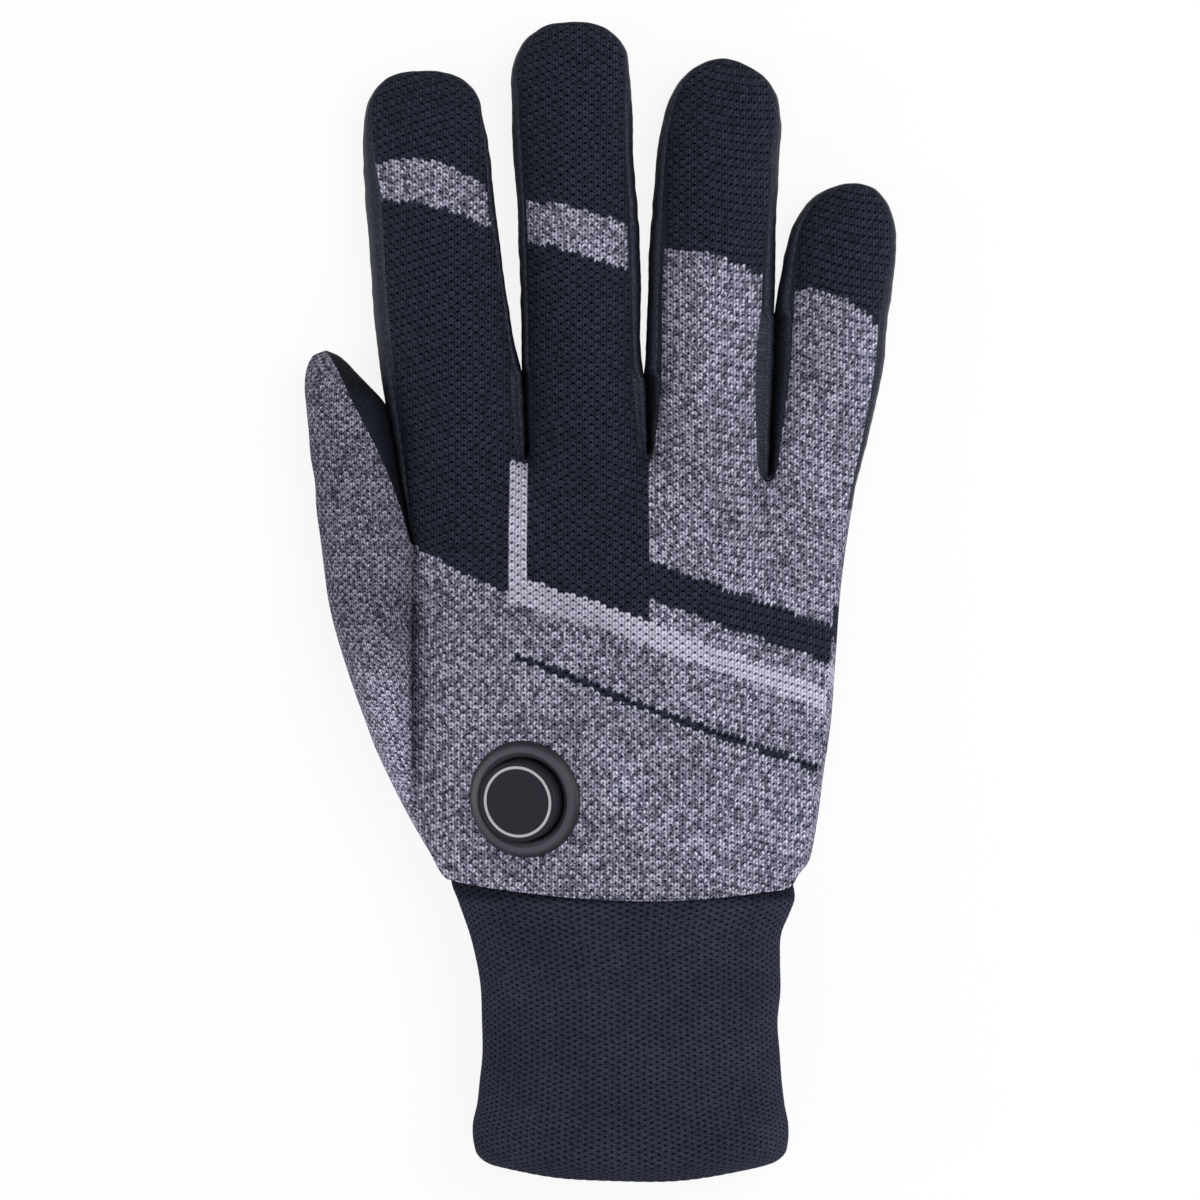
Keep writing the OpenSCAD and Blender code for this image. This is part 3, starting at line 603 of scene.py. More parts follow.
def wave(xy, seed, size):
    """Smooth random field in -1..1, a sum of seeded sine waves about size millimetres long."""
    g = np.random.default_rng(seed)
    out = np.zeros(len(xy))
    for _ in range(9):
        a = g.uniform(0, TURN)
        k = TURN / (size * g.uniform(0.7, 1.5))
        out += np.sin((xy[:, 0] * math.cos(a) + xy[:, 1] * math.sin(a)) * k + g.uniform(0, 6.28))
    return out / 5.0


# How far, and over what distance, the cloth rolls down at its edge. Both come from the nearest edge point, so
# the height steps where that point changes side.
roll = np.full(N_OUT, 1.1)
reach = np.full(N_OUT, 1.1)
bk = back_k[1:-1]
BENDS = [0, 2, N_WRIST - 1, N_WRIST + 2, N_WRIST + 3, N_WRIST + 4, N_WRIST + 5, N_WRIST + 6]
roll[N_RAIL:] = np.interp(bk, BENDS, [1.3, 2.3, 2.0, 1.6, 3.4, 6.0, 7.0, 2.4])
reach[N_RAIL:] = np.interp(bk, BENDS, [1.2, 1.8, 1.7, 3.0, 4.2, 4.6, 4.6, 2.0])
nearest = np.array([hit_edge(q)[1] for q in P])
src = 0.0175 + (0.100 - 0.0175) * sstep(P[:, 1], 22, 42)
z_top = membrane(edge_z - roll, src)
z_top += roll[nearest] * (1 - np.exp(-dist / reach[nearest]))
inner = sstep(dist, 1.0, 6.0)
z_top += inner * (0.28 * wave(P, 11, 26) + 0.12 * wave(P, 12, 11))
# faint cross folds along the fingers
z_top += inner * 0.16 * np.sin(P[:, 1] * TURN / 9.0 + 0.8 * wave(P, 5, 30)) * sstep(P[:, 1], 38, 48)



def node_points(name):
    return np.array([tuple(v.co) for v in frame["nodes"][name].data.vertices])


def joint(name):
    return next(j for j in frame["joints"] if j["name"] == name)


# the round module's plane, taken from the CAD
press = joint("button_press")
NORMAL = -Vector(press["axis"]).normalized()
ring_co = node_points("light_ring")
RING_TOP = Vector(((ring_co.min(0) + ring_co.max(0)) / 2).tolist())
hold_co = node_points("holder")
nh = np.array(tuple(NORMAL))
axis_pt = np.array(tuple(RING_TOP))
along_n = (hold_co - axis_pt) @ nh
rad_n = np.linalg.norm((hold_co - axis_pt) - np.outer(along_n, nh), axis=1)
HOLD_R = float(rad_n.max())
flange = along_n[rad_n > HOLD_R - 0.0002]
BASE = axis_pt + nh * float(flange.min())
mod_xy = BASE[:2] * 1000
dx = P - mod_xy
plane = BASE[2] * 1000 - (nh[0] * dx[:, 0] + nh[1] * dx[:, 1]) / nh[2]
MODULE_FLAT, MODULE_REACH = 12.5, 27.0      # the cloth lies in the module's plane, and joins the rest
t_mod = sstep(np.hypot(dx[:, 0], dx[:, 1]), MODULE_FLAT, MODULE_REACH)
z_top = (plane + 0.25) * (1 - t_mod) + z_top * t_mod

# underside: a flatter sheet that rests on the grip print
palm_edge = np.where(edge_z > 15.5, 6.5, 3.9)
palm_edge[N_RAIL:] = np.interp(
    bk, [0, 3, N_WRIST - 1, N_WRIST + 1, N_WRIST + 6], [8.0, 2.4, 4.6, 4.2, 5.0])
palm_edge[:N_RAIL] = np.interp(
    rail_k, [0, 3, WALL_END - 1, WALL_END + 3, WALL_END + 8], [5.0, 3.9, 3.9, 6.0, 8.0])
src_b = 0.012 + (0.075 - 0.012) * sstep(P[:, 1], 22, 42)
z_bot = membrane(palm_edge, -src_b)
low = 0.52                    # underside of the palm, on the grip print
z_bot = low + np.logaddexp(0, (z_bot - low) * 2.2) / 2.2 - 0.05
z_bot += sstep(dist, 2, 8) * 0.10 * (1 + wave(P, 21, 17))
z_bot = np.maximum(z_bot, low)

# ---------------------------------------------------------------- fingers, from their joints
FINGERS = {}
for j in frame["joints"]:
    if j["name"].endswith("_knuckle") or j["name"].endswith("_middle_joint"):
        name = j["child"].rsplit("_", 1)[0]
        f = FINGERS.setdefault(name, {})
        key = "base" if j["name"].endswith("_knuckle") else "mid"
        f[key] = np.array(j["pos_m"]) * 1000
        ax = np.array(j["axis"])
        f["dir"] = np.array([ax[1], -ax[0]])        # the way the finger points
for name, f in FINGERS.items():
    o = f["base"][:2]
    f["reach"] = float((f["mid"][:2] - o) @ f["dir"])
    small = name == "little"
    f["b0"], f["b1"] = (-9.0, 9.0) if small else (-9.5, 10.5)
    half = 9.0 if small else 11.0
    f["t0"], f["t1"] = f["reach"] - half, f["reach"] + half
    f["cut"] = (f["b1"] + f["t0"]) / 2
SLOTS = (-16.8, 10.5, 36.6)


def owner(xy):
    """0 = hand, then 1,2 = base,tip of index, 3,4 middle, 5,6 ring, 7,8 little."""
    out = np.zeros(len(xy), int)
    bound = [-999, *SLOTS, 999]
    for k, (name, f) in enumerate(FINGERS.items()):
        v = (xy - f["base"][:2]) @ f["dir"]
        mine = (xy[:, 0] > bound[k]) & (xy[:, 0] < bound[k + 1]) & (xy[:, 1] > 20)
        out[mine & (v > f["b0"])] = 2 * k + 1
        out[mine & (v > f["cut"])] = 2 * k + 2
    return out


def grid_quads(numbers):
    """The quads of a grid of vertex numbers."""
    corners = numbers[:-1, :-1], numbers[1:, :-1], numbers[1:, 1:], numbers[:-1, 1:]
    return np.stack(corners, -1).reshape(-1, 4)


def smooth_normals(co, faces):
    n = np.zeros_like(co)
    f = np.asarray(faces)
    if f.shape[1] == 4:
        a = np.cross(co[f[:, 2]] - co[f[:, 0]], co[f[:, 3]] - co[f[:, 1]])
    else:
        a = np.cross(co[f[:, 1]] - co[f[:, 0]], co[f[:, 2]] - co[f[:, 0]])
    for k in range(f.shape[1]):
        for ax in range(3):
            n[:, ax] += np.bincount(f[:, k], a[:, ax], len(co))
    return n / np.maximum(np.linalg.norm(n, axis=1), 1e-12)[:, None]


def flat_size(o):
    """The cut piece's area and its box, in metres, from its cloth coordinates."""
    me = o.data
    n = len(me.loops)
    uv = np.zeros(2 * n)
    me.uv_layers["cloth"].data.foreach_get("uv", uv)
    uv = uv.reshape(-1, 2) * 0.1
    start, total = (np.zeros(len(me.polygons), int) for _ in range(2))
    me.polygons.foreach_get("loop_start", start)
    me.polygons.foreach_get("loop_total", total)
    after = np.arange(n) + 1
    after[start + total - 1] = start
    cross = uv[:, 0] * uv[after, 1] - uv[after, 0] * uv[:, 1]
    area = float(np.abs(np.add.reduceat(cross, start)).sum() / 2)
    w, h = (float(k) for k in np.maximum(np.ptp(uv, axis=0), LEAST_SIDE))
    if area < 0.36 * w * h:       # strips cut apart: laid end to end
        w = area / h / 0.99
    return max(w, LEAST_SIDE), h, area


def cloth(o, strip=False):
    """Works out a sewn panel's flat size from its cloth coordinates; the result is not used."""
    w, h, area = flat_size(o)
    if strip:       # side strips laid end to end; their mean depth comes from the surface itself
        run = area / h
        area = sum(face.area for face in o.data.polygons)
        w, h = run, max(area / run, LEAST_SIDE)


def make(name, co, faces, uv, material, normals=None, slot=None, deep=None):
    """A mesh piece from coordinates in millimetres, with cloth coordinates and whole-surface normals."""
    faces = np.asarray(faces)
    used = np.unique(faces)
    remap = -np.ones(len(co), int)
    remap[used] = np.arange(len(used))
    me = bpy.data.meshes.new(name)
    me.from_pydata((co[used] * MM).tolist(), [], remap[faces].tolist())
    layer = me.uv_layers.new(name="cloth")
    loops = np.zeros(len(me.loops), int)
    me.loops.foreach_get("vertex_index", loops)
    layer.data.foreach_set("uv", (uv[used][loops] / UV_MM).astype(np.float32).ravel())
    # the slot map says where the leather gets painted shade between two fingers
    if deep is not None:
        shades = np.column_stack([deep[used][loops], np.zeros(len(loops))])
        me.uv_layers.new(name="slot").data.foreach_set("uv", shades.astype(np.float32).ravel())
    me.shade_smooth()
    me.validate()
    if normals is not None:
        me.normals_split_custom_set_from_vertices(normals[used].tolist())
    me.materials.append(material)
    o = bpy.data.objects.new(name, me)
    SCENE.collection.objects.link(o)
    return o


def to_body(o, k):
    """Attaches a hand piece to the hand; a finger piece has its joint's ends worked out, and is only baked in
    place.
    """
    if k == 0:
        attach(o, "hand")
        return
    name = list(FINGERS)[(k - 1) // 2]
    f = FINGERS[name]
    base, d, z = f["base"][:2], f["dir"], f["base"][2]
    near, far_, ends = "hand", name + "_base", (f["b0"], f["b1"])
    if k % 2 == 0:
        near, far_, ends = far_, name + "_tip", (f["t0"], f["t1"])
    start, end = (tuple(np.array([*(base + d * v), z]) * MM) for v in ends)
    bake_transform(o)


def part_name(k, kind):
    if k == 0:
        return "hand_" + kind
    return list(FINGERS)[(k - 1) // 2] + ("_base_" if k % 2 else "_tip_") + kind


def panel(k, kind, whole, part, *look_of, strip=False):
    """One panel of the hand or of a finger piece, with the CAD nodes it is shown for."""
    o = make(part_name(k, kind), *look_of)
    to_body(o, k)
    cloth(o, strip=strip)
    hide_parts(whole if k == 0 else part_name(k, part))


# knit back
top = np.column_stack([P, z_top])
n_top = smooth_normals(top, F)
own_f = owner(P[F].mean(1))
mid_f = top[F].mean(1) - BASE * 1000
hole_f = np.linalg.norm(mid_f - np.outer(mid_f @ nh, nh), axis=1) < HOLD_R * 1000 - 1.8
for k in range(9):
    sel = (own_f == k) & ~hole_f
    panel(k, "knit", "back_panel", "back", top, F[sel], P, KNIT, n_top, "knit_back")

# leather underside
bot = np.column_stack([P, z_bot])
Fb = F[:, ::-1]
n_bot = smooth_normals(bot, Fb)
for k in range(9):
    panel(k, "leather_palm", "palm_panel", "palm", bot, Fb[own_f == k], P + 40.0, LEATHER, n_bot, "leather")

# walls between the two sheets
T = rail[:, :2]
S = rail[:, 2:4]
zt = np.array([z_top[np.where(first == i)[0][0]] for i in range(N_RAIL)])
zb = np.array([z_bot[np.where(first == i)[0][0]] for i in range(N_RAIL)])
ts = np.array([0, 0.03, 0.06, 0.09, 0.13, 0.18, 0.25, 0.33, 0.42, 0.52, 0.62, 0.72, 0.82, 0.91, 1.0])
W_ROWS = len(ts)
arc = np.concatenate([[0], np.cumsum(np.hypot(*np.diff(T, axis=0).T))])
groove = np.exp(-((ts - 0.055) / 0.035) ** 2)
pucker = (0.07 * np.sin(arc * TURN / 8.3 + 1.9 * np.sin(arc * 0.23)) * (1 + 0.6 * np.sin(arc * 0.11))
          + 0.030 * np.sin(arc * TURN / 3.1 + 2.4 * np.sin(arc * 0.17)) + 0.09 * np.sin(arc * 0.31 + 1.0))
is_leather = rail_k < WALL_END
out_dir = (S - T) / np.maximum(np.hypot(*(S - T).T), 1e-6)[:, None]
S = S + out_dir * (0.10 * is_leather)[:, None]
# in a closed slot one wall is fullest high up and its neighbour low down, so that they lie into each other
lean = np.zeros(N_RAIL)
for c, y_close in zip(CROTCHES, CLOSED):
    here = np.abs(rail_k - c) < 8
    side_of = np.clip((rail_k - c) / 0.9, -1, 1)
    lean = np.where(here, side_of * sstep(y_close + 1.5 - rail[:, 1], 0, 3.0), lean)
LEAN_MM, LEAN_PEAK = 0.18, 0.17
S[:, 0] -= LEAN_MM * lean
peak = 0.5 + LEAN_PEAK * lean
S = T + (S - T) * sstep(len(RAIL) - 1 - rail_k, 0.0, 0.9)[:, None]
wall_co, wall_uv = [], []
for r, t in enumerate(ts):
    bulge = (np.sin(np.pi * t ** (math.log(0.5) / np.log(peak))) ** 0.56)[:, None]
    p = T + (S - T) * bulge - out_dir * (0.40 * groove[r] * is_leather)[:, None]
    z = zt + (zb - zt) * t - 0.45 * groove[r] * is_leather      # the seam's groove, just under the knit
    wall_co.append(np.column_stack([p, z]))
    wall_uv.append(np.column_stack([arc, np.full(N_RAIL, t * WALL_DEPTH)]))
wall_co = np.vstack(wall_co)
wall_uv = np.vstack(wall_uv)
# painted shade: how deep each wall point lies in a slot between two fingers, where the leather is darkened
between = np.zeros(N_RAIL)
for a, b in zip(TIPS[:-1], TIPS[1:]):
    between = np.maximum(between, sstep(np.minimum(rail_k - a, b - rail_k), 1.5, 5.0))
wall_deep = (sstep(ts, 0.08, 0.42)[:, None] * between).ravel()
idx = np.arange(W_ROWS * N_RAIL).reshape(W_ROWS, N_RAIL)
q = grid_quads(idx)
n_wall = smooth_normals(wall_co, q)
fade = np.repeat((np.sin(np.pi * ts) ** 0.5 * sstep(ts, 0.05, 0.14) * (1 - 0.5 * ts)), N_RAIL)
wall_co = wall_co + n_wall * (np.tile(pucker * is_leather, W_ROWS) * fade)[:, None]
n_wall = smooth_normals(wall_co, q)
col_of = np.tile(np.arange(N_RAIL - 1), W_ROWS - 1)
mid_T = (T[:-1] + T[1:]) / 2
own_w = owner(mid_T)[col_of]
leather_q = (rail_k[:-1] < WALL_END)[col_of]
for k in range(9):
    sel = (own_w == k) & leather_q
    panel(k, "leather_sides", "fourchettes", "sides", wall_co, q[sel], wall_uv, LEATHER, n_wall, "leather",
          wall_deep, strip=True)
sel = ~leather_q
wrap_uv = wall_co[:, :2] - np.column_stack([wall_co[:, 2], 0 * wall_co[:, 2]])
o = make("hand_knit_edge", wall_co, q[sel], wrap_uv, KNIT, n_wall, "knit_back")
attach(o, "hand")
cloth(o)

# ---------------------------------------------------------------- seam stitches, along the top of the leather
THREAD = thread("seam_thread")
STITCH_PITCH, STITCH_LENGTH, STITCH_R = 2.35, 1.55, 0.17
SPANS, SIDES = 7, 6           # rings along a stitch, and corners round it
seam_n = n_wall.reshape(W_ROWS, N_RAIL, 3)
seam = wall_co.reshape(W_ROWS, N_RAIL, 3)
line_co = (seam[2] + seam[3]) / 2
line_n = seam_n[2] + seam_n[3]
line_n /= np.linalg.norm(line_n, axis=1)[:, None]
rise = np.sin(np.linspace(0, math.pi, SPANS))
rad = STITCH_R * np.sqrt(np.clip(np.sin(np.linspace(0.25, math.pi - 0.25, SPANS)), 0, 1))
ang = np.linspace(0, TURN, SIDES + 1)[:-1]
for k in range(9):
    co_s, fc_s = [], []
    for a0 in np.arange(2.0, arc[rail_k < WALL_END].max() - 1.0, STITCH_PITCH):
        s_at = a0 + np.linspace(0, STITCH_LENGTH, SPANS)
        c = np.column_stack([np.interp(s_at, arc, line_co[:, j]) for j in range(3)])
        if owner(c[3:4, :2] - 0.3 * line_n[np.searchsorted(arc, a0)][:2])[0] != k:
            continue
        nn = np.column_stack([np.interp(s_at, arc, line_n[:, j]) for j in range(3)])
        nn /= np.linalg.norm(nn, axis=1)[:, None]
        ahead = np.gradient(c, axis=0)
        ahead /= np.linalg.norm(ahead, axis=1)[:, None]
        side_v = np.cross(ahead, nn)
        start = sum(len(b) for b in co_s)
        ring = []
        for h in range(SPANS):
            round_it = np.cos(ang)[:, None] * side_v[h] + np.sin(ang)[:, None] * nn[h]
            ring.append(c[h] + nn[h] * (0.16 * rise[h] - 0.02) + rad[h] * round_it)
        co_s.append(np.vstack(ring))
        for h in range(SPANS - 1):
            for g in range(SIDES):
                a, b = start + h * SIDES + g, start + h * SIDES + (g + 1) % SIDES
                fc_s.append((a, b, b + SIDES, a + SIDES))
        for end in (0, (SPANS - 1) * SIDES):
            v6 = [start + end + g for g in range(SIDES)]
            v6 = v6 if end else v6[::-1]
            fc_s += [(v6[0], v6[1], v6[2], v6[3]), (v6[0], v6[3], v6[4], v6[5])]
    if co_s:
        co_s = np.vstack(co_s)
        o = make(part_name(k, "stitches"), co_s, np.array(fc_s), co_s[:, :2], THREAD)
        to_body(o, k)

# ---------------------------------------------------------------- thumb
CROTCH_Y = 11.4               # above this the thumb is free of the hand
OUT = [
    (-61.5, -33.0), (-59.0, -34.4), (-52.6, -38.3), (-46.0, -42.0), (-39.6, -45.2), (-33.0, -48.3),
    (-26.6, -50.7), (-20.0, -53.1), (-13.6, -55.2), (-7.0, -57.2), (-0.5, -58.7), (6.0, -59.6),
    (12.5, -60.4), (19.0, -61.3), (25.5, -61.7), (30.7, -62.6), (36.0, -63.0), (41.0, -63.5), (46.3, -63.9),
    (49.2, -63.6), (51.5, -62.8), (52.9, -61.6), (53.75, -59.4)]
INN = [
    (-61.5, -29.0), (-56.0, -30.5), (-46.0, -33.5), (-36.0, -36.0), (-26.0, -38.6), (-16.0, -39.7),
    (-10.0, -39.8), (2.0, -39.5), (8.0, -39.5), (11.4, -39.8), (19.0, -41.7), (25.5, -42.9), (30.7, -43.9),
    (36.0, -44.8), (40.0, -45.4), (42.6, -46.7), (46.3, -50.1), (49.2, -52.9), (51.5, -55.1), (52.9, -57.0),
    (53.75, -59.2)]
SEAM = [(11.4, -40.6), (21.2, -43.5), (30.9, -47.4), (42.9, -53.5), (50.5, -57.2), (53.75, -59.3)]
TOPZ = [
    (-61.5, 16.0), (-52, 18.2), (-40, 20.6), (-20, 22.2), (0, 21.2), (11, 19.4), (25, 18.6), (40, 17.8),
    (47, 15.6), (51.5, 12.6), (53.0, 11.2), (53.75, 9.6)]
BOTZ = [
    (-61.5, 3.0), (-50, 1.2), (-30, 0.6), (30, 0.6), (40, 0.9), (47, 2.4), (51.5, 5.2), (53.0, 7.0),
    (53.75, 8.8)]


def table(rows, y):
    """A smooth curve through rows of (place, value), read at y."""
    r = np.array(rows, float)
    x0, y0 = r[:, 0], r[:, 1]
    d = np.gradient(y0, x0)
    i = np.clip(np.searchsorted(x0, y) - 1, 0, len(x0) - 2)
    h = x0[i + 1] - x0[i]
    t = np.clip((y - x0[i]) / h, 0, 1)
    return ((2 * t ** 3 - 3 * t ** 2 + 1) * y0[i] + (t ** 3 - 2 * t ** 2 + t) * h * d[i]
            + (-2 * t ** 3 + 3 * t ** 2) * y0[i + 1] + (t ** 3 - t ** 2) * h * d[i + 1])


ys = np.concatenate([np.arange(-60.4, 40, 0.8), 40 + 13.75 * np.sin(np.linspace(0, math.pi / 2, 34))])
ys = np.unique(np.round(ys, 4))
o_x, i_x, tz, bz = table(OUT, ys), table(INN, ys), table(TOPZ, ys), table(BOTZ, ys)
# from the crotch up, the thumb lies against the index finger's wall without entering it
lead = seam[:, rail_k < 4.5]
low_x = np.interp(ys, lead[0, :, 1], lead[:, :, 0].min(0))
near = (ys > CROTCH_Y) & (ys < 44)
i_x = np.where(near, np.minimum(low_x + 0.12, i_x), i_x)
s_x = table(SEAM, ys)
cx, hw = (o_x + i_x) / 2, (i_x - o_x) / 2
cz, hz = (tz + bz) / 2, (tz - bz) / 2
PP = 2.25                     # exponent of the thumb's section, a superellipse
f_s = np.clip((s_x - cx) / np.maximum(hw, 0.01), -0.98, 0.98)
f_s = np.where(ys < CROTCH_Y, 0.97, f_s)
a_s = np.arccos(np.sign(f_s) * np.abs(f_s) ** (PP / 2))       # seam's angle on the top
# and underneath: the knit goes right round at the root, and the leather takes over below the tip
a_b = TURN - 0.9 - (math.pi - 1.45) * sstep(ys, 11.6, 22.0)
NG, NB = 60, 40               # mesh columns of knit, and of leather
rows, turns = [], []
for i in range(len(ys)):
    ang = np.concatenate([np.linspace(a_s[i], a_b[i], NG), np.linspace(a_b[i], a_s[i] + TURN, NB + 1)[1:]])
    c, s = np.cos(ang), np.sin(ang)
    x = cx[i] + hw[i] * np.sign(c) * np.abs(c) ** (2 / PP)
    z = cz[i] + hz[i] * np.sign(s) * np.abs(s) ** (2 / PP)
    rows.append(np.column_stack([x, np.full_like(x, ys[i]), z]))
    turns.append(ang)
th = np.array(rows)
seg = np.linalg.norm(np.diff(th, axis=1), axis=2)
u_arc = np.concatenate([np.zeros((len(ys), 1)), np.cumsum(seg, 1)], 1)
u_arc = u_arc - np.array([[np.interp(math.pi, a, u)] for a, u in zip(turns, u_arc)])
outer = np.column_stack([cx - hw, ys, cz])
v_arc = np.concatenate([[0], np.cumsum(np.linalg.norm(np.diff(outer, axis=0), axis=1))]) + ys[0]
th_uv = np.stack([u_arc + 150.0, np.repeat(v_arc[:, None], th.shape[1], 1)], -1)
flat = th.reshape(-1, 3).copy()
bumpy = wave(flat[:, :2], 31, 22) * 0.30 + wave(flat[:, :2], 32, 9) * 0.10
near_top = sstep(flat[:, 2], 8, 16)
flat[:, 2] += bumpy * near_top
# the heel of the thumb cloth tucks in under the edge of the panel
hit_panel = flat_tree(P)
low_end = (flat[:, 1] < 0) & (flat[:, 0] > -42) & (flat[:, 2] > 9)
under = np.where(low_end)[0][inside(flat[low_end][:, :2], outline)]
for i in under:
    flat[i, 2] = min(flat[i, 2], z_top[hit_panel(flat[i])[1]] - 0.45)
n_cols = th.shape[1]
ti = np.arange(len(flat)).reshape(len(ys), n_cols)
tq = grid_quads(ti)
n_th = smooth_normals(flat, tq)
n_grid = n_th.reshape(len(ys), n_cols, 3)
n_grid[:, 0] = n_grid[:, -1] = n_grid[:, 0] + n_grid[:, -1]
n_th /= np.maximum(np.linalg.norm(n_th, axis=1), 1e-9)[:, None]
row_of = np.repeat(np.arange(len(ys) - 1), n_cols - 1)
col_t = np.tile(np.arange(n_cols - 1), len(ys) - 1)
tipward = ys[row_of] > 11.5
grey = (col_t < NG - 1)


def bend_thumb(o):
    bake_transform(o)


def thumb_piece(name, sel, mat, node, slot, moving):
    o = make(name, flat, tq[sel], th_uv.reshape(-1, 2), mat, n_th, slot)
    cloth(o)
    if moving:
        bend_thumb(o)
    else:
        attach(o, "hand")
    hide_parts(*node)


thumb_piece("thumb_knit", grey & tipward, GREY, ["thumb_tip_back"], "thumb_knit", True)
thumb_piece("thumb_leather", ~grey & tipward, SUEDE, ["thumb_tip_palm"], "leather", True)
thumb_piece("thumb_gusset_knit", ~tipward, GREY, ["thumb_gusset", "thumb_crotch"], "thumb_knit", False)

# ---------------------------------------------------------------- cuff
CUFF_L = [
    (-125.8, -24.6), (-124.6, -25.9), (-122, -26.7), (-117.7, -27.0), (-111, -26.1), (-104.7, -25.7),
    (-98, -25.1), (-91.7, -25.1), (-85, -25.5), (-78.7, -26.6), (-72.2, -28.1), (-65.6, -30.4),
    (-61.5, -31.9), (-56, -31.0)]
CUFF_R = [
    (-125.8, 39.0), (-124.6, 40.3), (-122, 41.1), (-117.7, 41.3), (-111, 40.3), (-104.7, 39.6), (-98, 39.2),
    (-91.7, 38.7), (-85, 39.2), (-78.7, 39.3), (-72.2, 39.9), (-68.6, 41.4), (-65.2, 42.6), (-61.5, 42.2),
    (-56, 41.0)]
CUFF_H = [
    (-125.8, 28.6), (-122, 32.2), (-117, 32.6), (-105, 31.4), (-92, 30.4), (-80, 30.2), (-72, 30.0),
    (-65.6, 29.0), (-61.5, 27.4), (-56, 25.5)]
RING_STEP = 0.40              # between rings on the outside
NC = 440                      # points round the cuff


def cuff_ring(y, inset, bow):
    """One ring at y; the hem bows down in the middle."""
    l, r, h = (float(table(t_, np.array([y]))[0]) for t_ in (CUFF_L, CUFF_R, CUFF_H))
    a = np.linspace(0, TURN, NC + 1)[:-1]
    c, s = np.cos(a), np.sin(a)
    e = 2 / 2.12
    hx, hh = (r - l) / 2 - inset, h / 2 - inset
    x = (l + r) / 2 + hx * np.sign(c) * np.abs(c) ** e
    z = 0.5 + h / 2 + hh * np.sign(s) * np.abs(s) ** e
    return np.column_stack([x, y + bow * ((x - 7.0) / 32.0) ** 2, z])


levels = []
y = -57.0
while y > -123.0:
    levels.append((y, 0.0))
    y -= RING_STEP
THICK = 2.8                   # of the folded cuff
RELIEF = 0.22                 # height of its knit
for a in np.linspace(0.0, math.pi, 11):
    levels.append((-123.0 - 2.6 * math.sin(a), THICK / 2 * (1 - math.cos(a))))
y = -122.4
while y < -66.0:
    levels.append((y, THICK))
    y += 1.2
cuff_rows, cuff_v = [], []
run = 0.0
prev = None
for (y, inset) in levels:
    bow = 3.4 * float(sstep(np.array([-y]), 100.0, 124.0)[0])
    r = cuff_ring(y, inset, bow)
    if prev is not None:
        run += float(np.linalg.norm(r[NC // 4] - prev[NC // 4]))
    prev = r
    cuff_rows.append(r)
    cuff_v.append(np.full(NC, -run))
cuff = np.array(cuff_rows)
waist = cuff[70]
u_c = np.concatenate([[0], np.cumsum(np.linalg.norm(np.diff(np.vstack([waist, waist[:1]]), axis=0), axis=1))])
CIRC = u_c[-1]
wales = 2 * round(CIRC / RIB_W / 2)     # an even number, so that the pits meet at the join
u_c = u_c * (wales * RIB_W / CIRC)
nr = len(levels)
# relief: the same stacked V stitches, as real height
uu = np.tile(u_c[:-1], (nr, 1))
vv = np.array(cuff_v)
colc = np.floor(uu / RIB_W)
fu = uu / RIB_W - colc - 0.5
tt = vv / RIB_C + np.mod(colc, 2.0)
arch = np.cos(TURN * (tt + np.abs(fu) * 0.75)) * 0.5 + 0.5
pp = (tt + 0.5) / 2 - np.floor((tt + 0.5) / 2) - 0.5
pits = np.exp(-((fu * RIB_W) ** 2 * 0.8 + (pp * 2 * RIB_C) ** 2 * 1.8) / 0.09)
relief = 0.1 * arch + 0.7 - 0.8 * pits
base = np.arange(nr * NC).reshape(nr, NC)
cn = smooth_normals(cuff.reshape(-1, 3), grid_quads(np.column_stack([base, base[:, :1]])))
cc = cuff.reshape(-1, 3)
centre = np.array([7.0, 0, 17.0])
sign = 1.0 if ((cc[:NC] - centre)[:, [0, 2]] * cn[:NC][:, [0, 2]]).sum() > 0 else -1.0
soft = wave(cc[:, :2] + cc[:, 2:3] * 0.7, 41, 24) * 0.35
cc = cc + cn * sign * ((relief.ravel() - 0.5) * RELIEF + soft)[:, None]
co_uv = np.stack([uu, vv], -1).reshape(-1, 2)
extra = cc.reshape(nr, NC, 3)[:, 0]
cc = np.vstack([cc, extra])
co_uv = np.vstack([co_uv, np.column_stack([np.full(nr, u_c[-1]), vv[:, 0]])])
wide = np.column_stack([base, nr * NC + np.arange(nr)])
cq = grid_quads(wide)
if sign < 0:
    cq = cq[:, ::-1]
cuff_o = make("cuff_knit", cc, cq, co_uv, RIB, None, "rib_knit")
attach(cuff_o, "hand")
cloth(cuff_o)
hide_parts("rib_cuff")

# ---------------------------------------------------------------- lining
li = top.copy()
li[:, 2] -= 1.6 + 0.6 * sstep(dist, 0, 4)
floor_z = np.vstack([node_points(n) for n in ("puck_base", "backing_ring")])[:, 2].min() * 1000 - 0.5
r_mod = np.hypot(*(P - mod_xy).T)
pocket = floor_z + (li[:, 2] - floor_z) * sstep(r_mod, 14.5, 24)
li[:, 2] = np.where(r_mod < 24, np.minimum(li[:, 2], pocket), li[:, 2])
lo = bot.copy()
lo[:, 2] += 1.2
both = np.vstack([li, lo])
for k in range(9):
    sel = (own_f == k) & (dist[F].min(1) > 0.4)
    lf = np.vstack([F[sel][:, ::-1], F[sel] + len(P)])
    panel(k, "fleece", "hand_lining", "lining", both, lf, np.vstack([P, P + 60]), FLEECE, None, "fleece")
ctr = np.column_stack([np.repeat(cx, n_cols), flat[:, 1], np.repeat(cz, n_cols)])
tl = ctr + (flat - ctr) * 0.84
tl[:, 1] = np.where(flat[:, 1] > 44, flat[:, 1] - (flat[:, 1] - 44) * 0.18, flat[:, 1])
o = make("thumb_fleece", tl, tq[tipward][:, ::-1], th_uv.reshape(-1, 2), FLEECE, None, "fleece")
bend_thumb(o)
cloth(o)
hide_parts("thumb_tip_lining")


